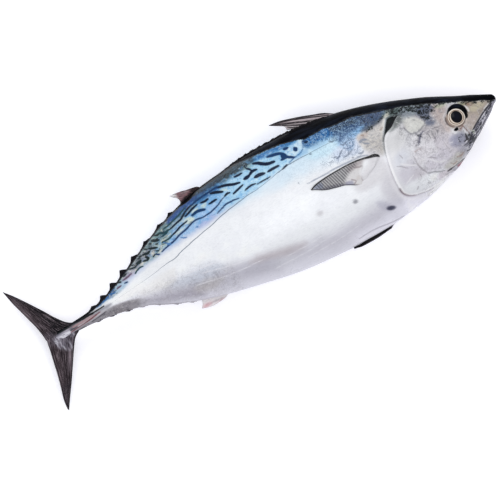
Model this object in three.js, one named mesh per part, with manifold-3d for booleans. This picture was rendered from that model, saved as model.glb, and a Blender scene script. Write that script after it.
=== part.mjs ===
// A whole raw small tuna, lying on its left flank, about half a metre long.
//
// Every shape is worked out in the fish's own coordinates, in millimetres:
//   s  distance back from the tip of the snout
//   t  height towards the back (dorsal is +, belly is -)
//   w  distance out from the middle plane, + on the right flank, which lies uppermost
// place() turns (s, t, w) into the part's frame: +X to the head, +Y to the back, +Z up.
// The fish is one piece of flesh, so body, gill covers, eyes and fins are joined into one solid.

import * as THREE from "three";
import { mergeVertices } from "three/addons/utils/BufferGeometryUtils.js";
import Module from "manifold-3d";

// ---------------------------------------------------------------- driving sizes
const BODY_END = 474; // the body runs this far back, into the root of the tail fin
const SNOUT_ROUND = 3.2; // over this length the snout is rounded off
const REST_HEIGHT = 39.5; // middle plane above the surface the fish lies on
const TAIL_DROP = 17; // how far the relaxed tail hangs at its root
const TAIL_BEND_FROM = 210;
const TAIL_BEND_OVER = 240;
const HEAD_DROP = 2.5; // the head sinks a little too
const LOBE_DROP = 5; // the tail fin's tips hang a little lower than its middle
const ORIGIN_S = 247.9; // the origin is under the middle of the outline
const ORIGIN_T = 4.8;

// Stations of the body: [s, back, belly, half width, height of the widest line]
const STATIONS = [
  [0, 4.8, -1.6, 3.2, 1.5],
  [4, 7, -4.4, 5.6, 1],
  [12, 10.6, -11.2, 9.8, -0.3],
  [30, 19.2, -23.8, 17.8, -1.5],
  [55, 31.5, -37.9, 26, -3],
  [85, 43.3, -48.6, 33, -3],
  [120, 54.8, -56.3, 38.6, -2],
  [160, 62.2, -60.4, 41.8, 0],
  [200, 64.6, -59.9, 42, 1.5],
  [245, 62.9, -56, 38.2, 3],
  [290, 57.2, -47.3, 30.4, 3.5],
  [320, 49.6, -40.2, 23.8, 3.7],
  [345, 40.4, -32.6, 18.8, 3.5],
  [375, 26.4, -18.8, 12.4, 2.6],
  [410, 11, -10.3, 7, 0.3],
  [440, 3.7, -7.4, 4.8, -1.8],
  [BODY_END, 1.5, -6.5, 2.2, -2.6],
];
const AROUND = 32;
const ALONG = 62;

// Gill cover: its rear edge is a rounded corner around this centre
const GILL_S = 86;
const GILL_T = -8;
const GILL_BACK = 33.5;
const GILL_UP = 39;
const GILL_DOWN = 38.4;
const GILL_LIP = 1.5; // how far its rear edge stands off the skin

// Eye
const EYE_S = 41;
const EYE_T = 2.2;
const EYE_R = 9;
const EYE_PROUD = 1.1;

// Mouth: a closed slit from the snout to below the eye
const MOUTH = [[-2, 1.2], [14, -7.6], [30, -18], [44, -29]];
const MOUTH_GAP = 0.8;
const MOUTH_DEEP = 2.6;

// Fins, each between a front edge and a rear edge, both from root to tip: [s, t]
const TAIL_UPPER = {
  front: [[443, 0], [452, 3.2], [462, 14], [480, 39.6], [495.8, 59.2]],
  rear: [[477, -8], [480.4, 2], [483, 20], [488, 33], [495.4, 57]],
  root: 4.4, tip: 1.4,
};
const TAIL_LOWER = {
  front: [[443, -5], [451, -8.8], [461, -20], [478, -47], [492.4, -69.2]],
  rear: [[477, 2], [481, -9], [483.4, -22], [489, -43], [493.6, -63]],
  root: 4.4, tip: 1.4,
};
const DORSAL_ONE = {
  front: [[140, 56], [146, 61.8], [163, 68.4], [180, 74.8], [200.6, 78.8]],
  rear: [[154, 56], [170, 61.6], [186, 66.4], [190, 73.6], [199.6, 77.8]],
  root: 3.4, tip: 1.4,
};
const DORSAL_TWO = {
  front: [[282, 55], [286, 59], [294, 60.8], [303, 63], [313.8, 64.3]],
  rear: [[308, 49], [307.4, 53.4], [308, 56], [310, 59], [313.2, 62.6]],
  root: 3.2, tip: 1.2,
};
const ANAL = {
  front: [[306, -41], [311, -45], [318, -46], [327, -46], [336.6, -43.8]],
  rear: [[330, -34], [331, -38.4], [332, -40], [334, -41.4], [336.4, -42.6]],
  root: 3, tip: 1.2,
};
const BACK_FOLD = { from: 148, to: 262, high: 1.5, thick: 3.2 }; // the rest of the first fin, folded into its groove

// Finlets: where each tip is along the body, and how far it stands clear
const FINLETS_UP = [322, 337, 355, 372, 387, 402, 415, 428];
const FINLETS_DOWN = [341, 355, 369, 384, 399, 413, 427];
const FINLET_LONG = 10;
const FINLET_THICK = 1.8;

// Pectoral fin, flat against each flank, and the pelvic pair, folded back on the belly
const PECTORAL = {
  front: [[123, 5], [134, 9.2], [152, 10.8], [175, 10.4], [193.8, 6.4]],
  rear: [[134, -5], [146, -13], [160, -8], [178, -1.2], [193.2, 5]],
  proud: 2.2,
};
const PELVIC = { from: 140, to: 184, inner: 1.6, outer: 8.5, proud: 1.5 };

// Side keel of the tail stem
const KEEL = { s: 441, t: -2.2, long: 27, high: 1.7, out: 7.6 };

// ---------------------------------------------------------------- body form
// Monotone cubic through one column of the stations
function column(k) {
  const x = STATIONS.map((r) => r[0]);
  const y = STATIONS.map((r) => r[k]);
  const d = x.slice(1).map((v, i) => (y[i + 1] - y[i]) / (v - x[i]));
  const m = y.map((_, i) => {
    if (i === 0) return d[0];
    if (i === y.length - 1) return d[i - 1];
    if (d[i - 1] * d[i] <= 0) return 0;
    const a = x[i] - x[i - 1];
    const b = x[i + 1] - x[i];
    return (3 * (a + b)) / ((2 * b + a) / d[i - 1] + (b + 2 * a) / d[i]);
  });
  return (s) => {
    let i = x.length - 2;
    while (i > 0 && s < x[i]) i--;
    const h = x[i + 1] - x[i];
    const u = THREE.MathUtils.clamp((s - x[i]) / h, 0, 1);
    const u2 = u * u;
    const u3 = u2 * u;
    return (
      y[i] * (2 * u3 - 3 * u2 + 1) +
      m[i] * h * (u3 - 2 * u2 + u) +
      y[i + 1] * (3 * u2 - 2 * u3) +
      m[i + 1] * h * (u3 - u2)
    );
  };
}
const [backAt, bellyAt, widthAt, widestAt] = [1, 2, 3, 4].map(column);
// Rounds the snout and the body's hidden rear end
const cap = (s) => {
  const a = THREE.MathUtils.clamp(s / SNOUT_ROUND, 0, 1);
  const b = THREE.MathUtils.clamp((BODY_END - s) / 6, 0, 1);
  return Math.sqrt(1 - (1 - a) ** 2) * Math.sqrt(1 - (1 - b) ** 2);
};
// Half width of the body at height t
function flank(s, t) {
  const c = widestAt(s);
  const reach = (t > c ? backAt(s) - c : c - bellyAt(s)) * cap(s);
  const r = reach > 0 ? (t - c) / reach : 2;
  return Math.abs(r) < 1 ? widthAt(s) * cap(s) * Math.sqrt(1 - r * r) : 0;
}
// Height of the belly's underside at a distance w from the middle
function underside(s, w) {
  const r = Math.min(0.99, Math.abs(w) / widthAt(s));
  const c = widestAt(s);
  return c - (c - bellyAt(s)) * Math.sqrt(1 - r * r);
}
const smooth = (x) => THREE.MathUtils.smoothstep(x, 0, 1);
// Height of the middle plane: the tail and the head hang a little
function middle(s, t) {
  const q = Math.max(0, (s - TAIL_BEND_FROM) / TAIL_BEND_OVER);
  const h = Math.max(0, (90 - s) / 90);
  const lobe = smooth((s - 448) / 30) * ((t + 4) / 65) ** 2;
  return REST_HEIGHT - TAIL_DROP * q * q - HEAD_DROP * h * h - LOBE_DROP * lobe;
}
const place = (s, t, w) => new THREE.Vector3(ORIGIN_S - s, t - ORIGIN_T, middle(s, t) + w);

// ---------------------------------------------------------------- solids
const wasm = await Module();
wasm.setup();

function solid(geometry) {
  const bare = geometry.clone();
  for (const name of ["normal", "uv"]) bare.deleteAttribute(name);
  const merged = mergeVertices(bare, 1e-4);
  const vertProperties = new Float32Array(merged.attributes.position.array);
  const triVerts = new Uint32Array(merged.index.array);
  const made = new wasm.Manifold(new wasm.Mesh({ numProp: 3, vertProperties, triVerts }));
  if (made.volume() > 0) return made;
  for (let i = 0; i < triVerts.length; i += 3) {
    [triVerts[i], triVerts[i + 1]] = [triVerts[i + 1], triVerts[i]];
  }
  return new wasm.Manifold(new wasm.Mesh({ numProp: 3, vertProperties, triVerts }));
}

// Moves every vertex of a geometry to where point(x, y, z) says
function warp(geometry, point) {
  const p = geometry.attributes.position;
  for (let i = 0; i < p.count; i++) {
    const v = point(p.getX(i), p.getY(i), p.getZ(i));
    p.setXYZ(i, v.x, v.y, v.z);
  }
  return solid(geometry);
}

// Body: a globe drawn out along the stations, its poles at the snout and in the tail's root
function body() {
  return warp(new THREE.SphereGeometry(1, AROUND, ALONG), (x, y, z) => {
    const theta = Math.acos(THREE.MathUtils.clamp(y, -1, 1));
    const s = (BODY_END * (1 - Math.cos(theta))) / 2;
    const ring = Math.hypot(x, z) > 1e-6 ? Math.atan2(z, x) : 0;
    const c = widestAt(s);
    const up = Math.sin(ring);
    const reach = up > 0 ? backAt(s) - c : c - bellyAt(s);
    return place(s, c + reach * cap(s) * up, widthAt(s) * cap(s) * Math.cos(ring));
  });
}

const edge = (points) => new THREE.SplineCurve(points.map(([s, t]) => new THREE.Vector2(s, t)));

// Fin in the middle plane: a thin slab between two edges, thinning to its tip and to both edges
function fin({ front, rear, root, tip }, along = 12, across = 4) {
  const a = edge(front);
  const b = edge(rear);
  return warp(new THREE.BoxGeometry(1, 1, 1, along, across, 1), (x, y, z) => {
    const u = x + 0.5;
    const v = y + 0.5;
    const p = a.getPoint(u).lerp(b.getPoint(u), v);
    const thick = THREE.MathUtils.lerp(root, tip, Math.sqrt(u)) * (1 - 0.45 * v);
    return place(p.x, p.y, z * thick);
  });
}

// Plate that lies on a flank: outline(u, v) gives [s, t] and proud(u, v) its height off the skin
function plate(side, outline, proud, along, across, sunk = 2.5) {
  return warp(new THREE.BoxGeometry(1, 1, 1, along, across, 1), (x, y, z) => {
    const u = x + 0.5;
    const v = y + 0.5;
    const [s, t] = outline(u, v);
    const f = flank(s, t);
    return place(s, t, side * (z > 0 ? f + proud(u, v) : Math.max(0.2, f - sunk)));
  });
}

function gillCover(side) {
  // u runs from the cheek to the rear edge, v from the top round to the throat
  return plate(
    side,
    (u, v) => {
      const angle = THREE.MathUtils.lerp(1.32, -1.62, v);
      const c = Math.cos(angle);
      const q = Math.sin(angle);
      const n = q > 0 ? 2 : 4.2;
      const high = q > 0 ? GILL_UP : GILL_DOWN;
      const r = 1 / (Math.abs(c / GILL_BACK) ** n + Math.abs(q / high) ** n) ** (1 / n);
      const out = 0.35 + 0.65 * u;
      return [GILL_S + r * c * out, GILL_T + r * q * out];
    },
    (u, v) => -0.6 + (GILL_LIP + 0.6) * smooth(u * 1.25) * (0.35 + 0.65 * smooth((1 - v) * 3)),
    7,
    22,
  );
}

function pectoral(side) {
  const a = edge(PECTORAL.front);
  const b = edge(PECTORAL.rear);
  return plate(
    side,
    (u, v) => a.getPoint(u).lerp(b.getPoint(u), v).toArray(),
    (u, v) => PECTORAL.proud * (1 - 0.35 * u) * (1 - 0.4 * v),
    14,
    4,
    1.5,
  );
}

function pelvic(side) {
  return warp(new THREE.BoxGeometry(1, 1, 1, 10, 3, 1), (x, y, z) => {
    const u = x + 0.5;
    const v = y + 0.5;
    const s = THREE.MathUtils.lerp(PELVIC.from, PELVIC.to, u);
    const wide = (PELVIC.outer - PELVIC.inner) * Math.sin(Math.PI * (0.12 + 0.84 * u)) ** 0.6;
    const w = side * (PELVIC.inner + wide * v);
    const t = underside(s, w) + (z > 0 ? 1.2 : -PELVIC.proud * Math.min(1, 0.2 + 1.6 * u));
    return place(s, t, w);
  });
}

function finlet(tipS, upper) {
  const line = upper ? backAt : bellyAt;
  const sign = upper ? 1 : -1;
  const sFront = tipS - FINLET_LONG * 0.62;
  const sRear = tipS + FINLET_LONG * 0.5;
  const clear = upper ? 3.6 * Math.sin((Math.PI * (tipS - 300)) / 160) ** 0.7 : 2;
  const tip = [tipS, line(tipS) + sign * clear];
  const foot = (s) => [s, line(s) - sign * 1.6];
  return fin(
    { front: [foot(sFront), [tipS - 3, tip[1] - sign * 0.35], tip], rear: [foot(sRear), [tipS + 2, line(tipS + 2) + sign * 0.7], [tip[0] + 0.8, tip[1] - sign * 0.5]], root: FINLET_THICK, tip: 0.9 },
    3,
    2,
  );
}

function backFold() {
  return warp(new THREE.BoxGeometry(1, 1, 1, 22, 1, 1), (x, y, z) => {
    const u = x + 0.5;
    const s = THREE.MathUtils.lerp(BACK_FOLD.from, BACK_FOLD.to, u);
    const high = BACK_FOLD.high * smooth(u * 8) * smooth((1 - u) * 3);
    return place(s, backAt(s) + (y > 0 ? high : -3), z * BACK_FOLD.thick * (y > 0 ? 0.5 : 1));
  });
}

function globe(s, t, w, rs, rt, rw, round = 20, high = 10) {
  return warp(new THREE.SphereGeometry(1, round, high), (x, y, z) => place(s + rs * x, t + rt * y, w + rw * z));
}

function eye(side) {
  const deep = 4;
  return globe(EYE_S, EYE_T, side * (flank(EYE_S, EYE_T) + EYE_PROUD - deep), EYE_R, EYE_R * 0.97, deep);
}

function mouthSlit(side) {
  const line = edge(MOUTH);
  return warp(new THREE.BoxGeometry(1, 1, 1, 12, 1, 1), (x, y, z) => {
    const u = x + 0.5;
    const p = line.getPoint(u);
    const t = p.y + y * MOUTH_GAP * (1 - 0.5 * u);
    const f = flank(Math.max(0.4, p.x), p.y);
    return place(p.x, t, side * (z > 0 ? f + 3 : Math.max(-0.4, f - MOUTH_DEEP)));
  });
}

let fish = body();
const join = (piece) => {
  fish = fish.add(piece);
};
[TAIL_UPPER, TAIL_LOWER].forEach((f) => join(fin(f, 14, 5)));
[DORSAL_ONE, DORSAL_TWO, ANAL].forEach((f) => join(fin(f)));
join(backFold());
FINLETS_UP.forEach((s) => join(finlet(s, true)));
FINLETS_DOWN.forEach((s) => join(finlet(s, false)));
for (const side of [1, -1]) {
  join(gillCover(side));
  join(pectoral(side));
  join(pelvic(side));
  join(eye(side));
}
join(globe(KEEL.s, KEEL.t, 0, KEEL.long, KEEL.high, KEEL.out, 20, 8));
for (const side of [1, -1]) fish = fish.subtract(mouthSlit(side));

// The soft flank is pressed flat where the fish lies on it
const ground = new THREE.BoxGeometry(700, 300, 100);
ground.translate(0, 0, -50);
fish = fish.subtract(solid(ground));

// ---------------------------------------------------------------- scene graph
const out = fish.getMesh();
const positions = new Float32Array(out.numVert * 3);
for (let i = 0; i < out.numVert; i++) {
  positions.set(out.vertProperties.subarray(i * out.numProp, i * out.numProp + 3), i * 3);
}
const geometry = new THREE.BufferGeometry();
geometry.setAttribute("position", new THREE.BufferAttribute(positions, 3));
geometry.setIndex(new THREE.BufferAttribute(out.triVerts, 1));
geometry.computeVertexNormals();

const skin = new THREE.MeshStandardMaterial({ color: new THREE.Color(0.8, 0.81, 0.84), roughness: 0.32, metalness: 0.15 });
const fishMesh = new THREE.Mesh(geometry, skin);
fishMesh.name = "fish";

const tuna = new THREE.Group();
tuna.add(fishMesh);
export default tuna;
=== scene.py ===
import math

import bpy
import numpy as np
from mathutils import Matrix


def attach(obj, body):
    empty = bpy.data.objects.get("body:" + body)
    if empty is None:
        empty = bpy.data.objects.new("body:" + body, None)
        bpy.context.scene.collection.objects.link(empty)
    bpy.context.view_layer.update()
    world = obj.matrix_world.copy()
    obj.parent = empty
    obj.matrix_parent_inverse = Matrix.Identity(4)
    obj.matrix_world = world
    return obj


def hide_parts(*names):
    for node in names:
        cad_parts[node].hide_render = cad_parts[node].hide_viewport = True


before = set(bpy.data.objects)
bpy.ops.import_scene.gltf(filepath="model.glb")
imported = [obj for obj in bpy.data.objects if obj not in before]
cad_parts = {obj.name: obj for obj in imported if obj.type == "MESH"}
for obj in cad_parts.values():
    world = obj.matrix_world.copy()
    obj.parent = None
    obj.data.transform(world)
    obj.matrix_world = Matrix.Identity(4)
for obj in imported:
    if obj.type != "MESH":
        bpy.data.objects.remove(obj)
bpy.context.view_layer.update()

# ------------------------------------------------------------------ sizes, in millimetres
# s: distance back from the snout, t: height towards the back, w: distance out of the middle plane (+ is the right, upper flank)
ORIGIN_S, ORIGIN_T = 247.9, 4.8
BODY_END = 474.0
REST_HEIGHT = 39.5
EYE = (41.0, 2.2)
PI = math.pi


def hermite(xs, ys):
    """Monotone cubic through points."""
    x, y = np.array(xs, float), np.array(ys, float)
    h = np.diff(x)
    d = np.diff(y) / h
    m = np.empty_like(y)
    m[0], m[-1] = d[0], d[-1]
    for i in range(1, len(y) - 1):
        if d[i - 1] * d[i] <= 0:
            m[i] = 0
        else:
            a, b = h[i - 1], h[i]
            m[i] = 3 * (a + b) / ((2 * b + a) / d[i - 1] + (b + 2 * a) / d[i])

    def f(q):
        q = np.clip(np.asarray(q, float), x[0], x[-1])
        i = np.clip(np.searchsorted(x, q, side="right") - 1, 0, len(x) - 2)
        u = (q - x[i]) / h[i]
        u2, u3 = u * u, u * u * u
        return (
            y[i] * (2 * u3 - 3 * u2 + 1)
            + m[i] * h[i] * (u3 - 2 * u2 + u)
            + y[i + 1] * (3 * u2 - 2 * u3)
            + m[i + 1] * h[i] * (u3 - u2)
        )

    return f


def table(rows, k):
    return hermite([r[0] for r in rows], [r[k] for r in rows])


OUTLINE = [  # s, back, belly
    (0, 4.8, -1.6), (3, 6.4, -3.8), (10, 9.8, -10.0), (20, 14.7, -17.0), (30, 19.2, -23.6), (40, 24.1, -29.4),
    (50, 29.0, -34.9), (60, 33.6, -39.9), (80, 41.5, -47.2), (100, 48.7, -52.5), (120, 54.7, -56.0),
    (140, 59.4, -58.8), (160, 62.2, -60.2), (180, 63.9, -60.3), (200, 64.5, -59.8), (220, 64.4, -58.6),
    (240, 63.3, -56.4), (260, 61.4, -53.0), (280, 59.0, -49.2), (300, 55.0, -45.0), (320, 49.4, -40.2),
    (340, 42.3, -34.3), (360, 33.4, -26.4), (380, 24.0, -17.0), (400, 14.9, -12.2), (420, 7.5, -8.9),
    (440, 3.6, -7.3), (BODY_END, 1.5, -6.3),
]
GIRTH = [  # s, half width, height of the widest line
    (0, 3.2, 1.5), (4, 5.6, 1.0), (12, 9.8, -0.3), (30, 17.8, -1.5), (55, 26.0, -3.0), (85, 33.0, -3.0),
    (120, 38.6, -2.0), (160, 41.8, 0.0), (200, 42.0, 1.5), (245, 38.2, 3.0), (290, 30.4, 3.5), (320, 23.8, 3.7),
    (345, 18.8, 3.5), (375, 12.4, 2.6), (410, 7.0, 0.3), (440, 4.6, -1.8), (BODY_END, 1.6, -2.6),
]
back, belly = table(OUTLINE, 1), table(OUTLINE, 2)
girth, widest = table(GIRTH, 1), table(GIRTH, 2)


def sm(a, b, x):
    u = np.clip((np.asarray(x, float) - a) / (b - a), 0, 1)
    return u * u * (3 - 2 * u)


def bump(x, width):
    return np.exp(-((np.asarray(x, float) / width) ** 2))


def cap(s):
    a = np.clip(s / 2.2, 0, 1)
    b = np.clip((BODY_END - s) / 6, 0, 1)
    return np.sqrt(1 - (1 - a) ** 2) * np.sqrt(1 - (1 - b) ** 2)


def body_point(s, ring):
    """Fish coordinates of the plain body at station s and ring angle (pi/2 is the back, -pi/2 the belly)."""
    c, k, up = widest(s), cap(s), np.sin(ring)
    reach = np.where(up > 0, back(s) - c, c - belly(s)) * k
    return np.stack([s, c + reach * up, girth(s) * k * np.cos(ring)], -1)


def body_normal(s, ring):
    ds, dr = 0.4, 0.004
    lo, hi = np.maximum(s - ds, 0.02), np.minimum(s + ds, BODY_END - 0.02)
    a = body_point(hi, ring) - body_point(lo, ring)
    b = body_point(s, ring + dr) - body_point(s, ring - dr)
    n = np.cross(b, a)
    n /= np.maximum(np.linalg.norm(n, axis=-1, keepdims=True), 1e-9)
    c = np.stack([s, widest(s), 0 * s], -1)
    flip = np.sign(((body_point(s, ring) - c) * n).sum(-1, keepdims=True))
    return n * np.where(flip == 0, 1, flip)


def ring_of(s, t):
    """Ring angle on the right flank at height t."""
    c = widest(s)
    reach = np.where(t > c, back(s) - c, c - belly(s)) * cap(s)
    return np.arcsin(np.clip((t - c) / np.maximum(reach, 1e-6), -0.9995, 0.9995))


def middle(s, t):
    q = np.maximum(0, (s - 210) / 240)
    h = np.maximum(0, (90 - s) / 90)
    lobe = sm(448, 478, s) * ((t + 4) / 65) ** 2
    return REST_HEIGHT - 17 * q * q - 2.5 * h * h - 5 * lobe


def place(p):
    """Fish coordinates in mm to the frame in metres; the flank that lies on the surface is pressed flat."""
    s, t, w = p[..., 0], p[..., 1], p[..., 2]
    z = middle(s, t) + w
    z = 0.5 * (z + np.sqrt(z * z + 0.6))
    return np.stack([ORIGIN_S - s, t - ORIGIN_T, z], -1) * 0.001


# ------------------------------------------------------------------ noise
def lattice(i, seed):
    n = (i[..., 0] * 73856093) ^ (i[..., 1] * 19349663) ^ (i[..., 2] * 83492791) ^ (seed * 1000003 + 12345)
    n = (n ^ (n >> 13)) * 1274126177 & 0x7FFFFFFF
    n = (n ^ (n >> 15)) * 668265263 & 0x7FFFFFFF
    return ((n >> 7) & 0xFFFF) / 32767.5 - 1


def noise(p, seed=0):
    i = np.floor(p).astype(np.int64)
    f = p - i
    f = f * f * f * (f * (f * 6 - 15) + 10)
    out = 0
    for dx in (0, 1):
        for dy in (0, 1):
            for dz in (0, 1):
                k = (
                    (f[..., 0] if dx else 1 - f[..., 0])
                    * (f[..., 1] if dy else 1 - f[..., 1])
                    * (f[..., 2] if dz else 1 - f[..., 2])
                )
                out = out + k * lattice(i + np.array([dx, dy, dz]), seed)
    return out


def fbm(p, scale, seed=0, octaves=3):
    out, amp = 0, 1.0
    for k in range(octaves):
        out = out + amp * noise(p / scale * 2**k, seed + 17 * k)
        amp *= 0.5
    return out / 1.75


# ------------------------------------------------------------------ curves drawn on the fish, in (s, t)
def curve(points, step=0.6):
    """Catmull-Rom curve through points, sampled evenly."""
    p = np.array(points, float)
    if len(p) == 2:
        n = max(2, int(np.linalg.norm(p[1] - p[0]) / step))
        return p[0] + (p[1] - p[0]) * np.linspace(0, 1, n)[:, None]
    q = np.vstack([2 * p[0] - p[1], p, 2 * p[-1] - p[-2]])
    out = []
    for i in range(len(p) - 1):
        a, b, c, d = q[i : i + 4]
        n = max(2, int(np.linalg.norm(c - b) / step))
        u = np.linspace(0, 1, n, endpoint=False)[:, None]
        out.append(0.5 * (2 * b + (c - a) * u + (2 * a - 5 * b + 4 * c - d) * u**2 + (3 * b - a - 3 * c + d) * u**3))
    return np.vstack(out + [p[-1:]])


def even(points, n):
    """n points evenly spaced along a smooth curve."""
    c = curve(points, 0.4)
    d = np.concatenate([[0], np.cumsum(np.linalg.norm(np.diff(c, axis=0), axis=1))])
    u = np.linspace(0, d[-1], n)
    return np.stack([np.interp(u, d, c[:, k]) for k in range(c.shape[1])], -1)


FAR = 30.0


def distance(st, line, reach=FAR):
    """Distance from each point to a sampled line, FAR beyond reach, and where along it the nearest point is (0 to 1)."""
    out = np.full(len(st), FAR)
    along = np.zeros(len(st))
    lo, hi = line.min(0) - reach, line.max(0) + reach
    near = np.nonzero(((st > lo) & (st < hi)).all(1))[0]
    if len(near) == 0:
        return out, along
    q = st[near]
    best = np.full(len(near), FAR)
    at = np.zeros(len(near))
    for i in range(len(line) - 1):
        a, b = line[i], line[i + 1]
        ab = b - a
        u = np.clip(((q - a) @ ab) / max(ab @ ab, 1e-9), 0, 1)
        d = np.linalg.norm(q - (a + u[:, None] * ab), axis=1)
        m = d < best
        best[m] = d[m]
        at[m] = (i + u[m]) / (len(line) - 1)
    out[near], along[near] = best, at
    return out, along


def inside(st, loop):
    """True inside a closed loop."""
    x, y = st[:, 0], st[:, 1]
    hit = np.zeros(len(st), bool)
    n = len(loop)
    for i in range(n):
        (x1, y1), (x2, y2) = loop[i], loop[(i + 1) % n]
        cross = (y1 > y) != (y2 > y)
        with np.errstate(divide="ignore", invalid="ignore"):
            hit ^= cross & (x < (x2 - x1) * (y - y1) / (y2 - y1) + x1)
    return hit


def region(st, points, soft=2.0, grow=0.0):
    """1 inside a smooth closed region, 0 outside, with a soft edge."""
    loop = curve(list(points) + [points[0]], 1.0)[:-1]
    d, _ = distance(st, np.vstack([loop, loop[:1]]), reach=soft * 2 + abs(grow) + 2)
    signed = np.where(inside(st, loop), -d, d) - grow
    return 1 - sm(-soft, soft, signed)


MOUTH = curve([(-1.5, 1.0), (5, -1.4), (15, -4.6), (22, -9), (30, -13.4), (35, -17.4), (38.5, -21.5)])
JAW_REAR = curve([(38.5, -21.5), (41.5, -25), (44.5, -30.5)])
GILL_EDGE = [
    (86, 30.4), (91, 28.7), (95.4, 25.8), (100, 22.6), (105, 20.7), (109, 18.2), (112.2, 13.4), (114.6, 7.6), (116.4, 1.6), (117.9, -5),
    (119.3, -13), (120.2, -21), (120.3, -30), (119, -37), (115.5, -41.2), (110, -43.8), (103, -45.6), (95, -46.4), (86, -45.6),
    (77, -43.4), (69, -41),
]
GILL_LINE = curve(GILL_EDGE)
PREOPERCLE = curve([(93, -6), (93.5, -14), (93.5, -21), (91, -28.5), (85, -33), (77, -36), (69, -37.8), (60, -37.3), (52, -34)])
LATERAL = curve([
    (128, 33), (140, 35.5), (160, 37.2), (190, 37.6), (200, 37.5), (208, 36.5), (220, 34), (232, 31.6), (240, 30.5),
    (250, 29.8), (260, 28), (270, 26.4), (280, 24.6), (290, 21.7), (300, 19.8), (310, 17.5), (320, 15), (330, 12.5),
    (336, 10.2), (350, 9), (360, 7), (373, 5.4), (395, 3), (420, 0), (440, -2),
])


# ------------------------------------------------------------------ relief of the skin
def relief(s, t, w, p3):
    """How far the real surface stands off the plain body, in mm."""
    st = np.stack([s, t], -1)
    d = 0.28 * fbm(p3, 34, 3) + 0.07 * fbm(p3, 7, 9)
    head = 1 - sm(100, 130, s)
    # socket and rim of the eye
    r = np.hypot(s - EYE[0], t - EYE[1])
    d = d - 2.6 * (1 - sm(6.8, 9.4, r)) + 0.55 * bump(r - 11.2, 1.6)
    # closed mouth: a groove, with the lower jaw set in a little
    g, _ = distance(st, MOUTH, 8)
    low = np.interp(s, MOUTH[:, 0], MOUTH[:, 1]) - t
    front = 1 - sm(36, 44, s)
    d = d - 1.0 * bump(g, 0.75) * front - 0.7 * sm(0, 1.6, low) * front * sm(0, 4, s)
    j, _ = distance(st, JAW_REAR, 6)
    d = d - 0.8 * bump(j, 0.8)
    d = d + 0.5 * bump(np.hypot((s - 34) / 5, (t + 13) / 3.2), 1)  # end of the upper jaw
    # bones of the cheek
    q, _ = distance(st, PREOPERCLE, 8)
    loop = np.vstack([PREOPERCLE, [(40, -20), (60, 5), (90, 0)]])
    within = inside(st, loop)
    d = d + np.where(within, 0.55 * sm(0, 1.6, q) + 0.25 * bump(q - 1.6, 1.4), -0.2 * bump(q, 1.2)) * head
    # seam of the gill cover behind which the skin dips
    e, _ = distance(st, GILL_LINE, 12)
    d = d - 1.0 * bump(e - 0.5, 3.2) * sm(60, 84, s)
    d = d - 1.8 * region(st, SLIT, 1.4)
    # lateral line, groove over the pectoral fin, hollow that the fin lies in
    l, _ = distance(st, LATERAL, 4)
    d = d - 0.22 * bump(l, 0.7) * sm(150, 175, s)
    f, _ = distance(st, curve([(196, 13.5), (180, 13), (160, 13), (150, 12.4), (140, 11), (131, 8.4)]), 4)
    d = d - 0.35 * bump(f, 0.7)
    # small folds where the pelvic fins fold away
    for line, deep in (
        ([(128, -56.5), (142, -56.2), (160, -54.5), (176, -55.5)], 0.25),
        ([(133, -49.5), (142, -50.5), (151, -51.5)], 0.15),
    ):
        f, _ = distance(st, curve(line), 5)
        d = d - deep * bump(f, 1.1)
    # side keels of the tail stem, a long one and two small ones behind it
    d = d + 3.0 * bump(t + 2.2 - 0.05 * (s - 440), 1.5) * sm(416, 436, s) * (1 - sm(452, 468, s))
    for side in (1, -1):
        d = d + 0.9 * bump(t + 2.6 - side * (2.4 + 0.10 * (s - 455)), 0.8) * sm(446, 455, s) * (1 - sm(463, 472, s))
    # groove of the folded first fin along the back
    ridge = np.abs(w)
    d = d - 0.9 * bump(ridge - 2.4, 1.3) * np.where(t > 0, 1, 0) * sm(136, 148, s) * (1 - sm(255, 270, s))
    # throat: the two gill covers meet under it
    d = d - 0.9 * bump(ridge, 1.6) * np.where(t < 0, 1, 0) * sm(8, 20, s) * (1 - sm(60, 80, s))
    return d


def skin_point(s, ring, extra=0.0):
    base = body_point(s, ring)
    n = body_normal(s, ring)
    t, w = base[..., 1], base[..., 2]
    shape = s.shape
    d = relief(s.ravel(), t.ravel(), w.ravel(), base.reshape(-1, 3)).reshape(shape)
    fade = sm(0, 2.5, s) * (1 - sm(BODY_END - 6, BODY_END, s))
    return base + n * (d * fade + extra)[..., None], n


# ------------------------------------------------------------------ colours
def hexa(h):
    return np.array([int(h[i : i + 2], 16) / 255 for i in (0, 2, 4)])


def to_linear(c):
    return np.where(c <= 0.04045, c / 12.92, ((c + 0.055) / 1.055) ** 2.4)


GAIN = 0.87


def lin(h, a=1.0):
    return (*[float(x) for x in to_linear(hexa(h)) * GAIN], a)


BACK_EDGE = hermite(
    [0, 5, 10, 15, 20, 25, 30, 36, 42, 50, 60, 70, 80, 90, 100, 110, 120, 130, 140, 150, 160, 170, 176, 182, 190, 200, 210, 230, 250, 260, 275, 300, 474],
    [-0.8, 0.4, 3.6, 5.6, 7.5, 10.2, 12.6, 14.9, 17.5, 21.5, 26.0, 30.0, 33.8, 36.8, 40, 43, 46, 48.5, 48.8, 49.8, 51.3, 51, 50.6, 53.4, 55, 57.3, 58.3, 59.6, 60.6, 60.6, 59.4, 55.5, 1],
)
LAT_T = hermite(LATERAL[::6, 0], LATERAL[::6, 1])
BLUE_T = hermite([128, 180, 208, 220, 240, 260, 280, 300, 320, 340, 360, 380, 400, 420, 440], [37, 37.8, 36.8, 34.8, 31.4, 29, 26.2, 23.6, 22, 20.4, 17.8, 13.8, 7.6, 3.4, 2])
SLIT = [(88, 30.8), (94, 31.9), (99.4, 31.6), (102.8, 28.6), (106.2, 24), (109.2, 20), (112.8, 15), (111, 16.2), (108, 18.8), (104.5, 20.4), (100.3, 21.8), (96, 25), (92, 28)]

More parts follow.
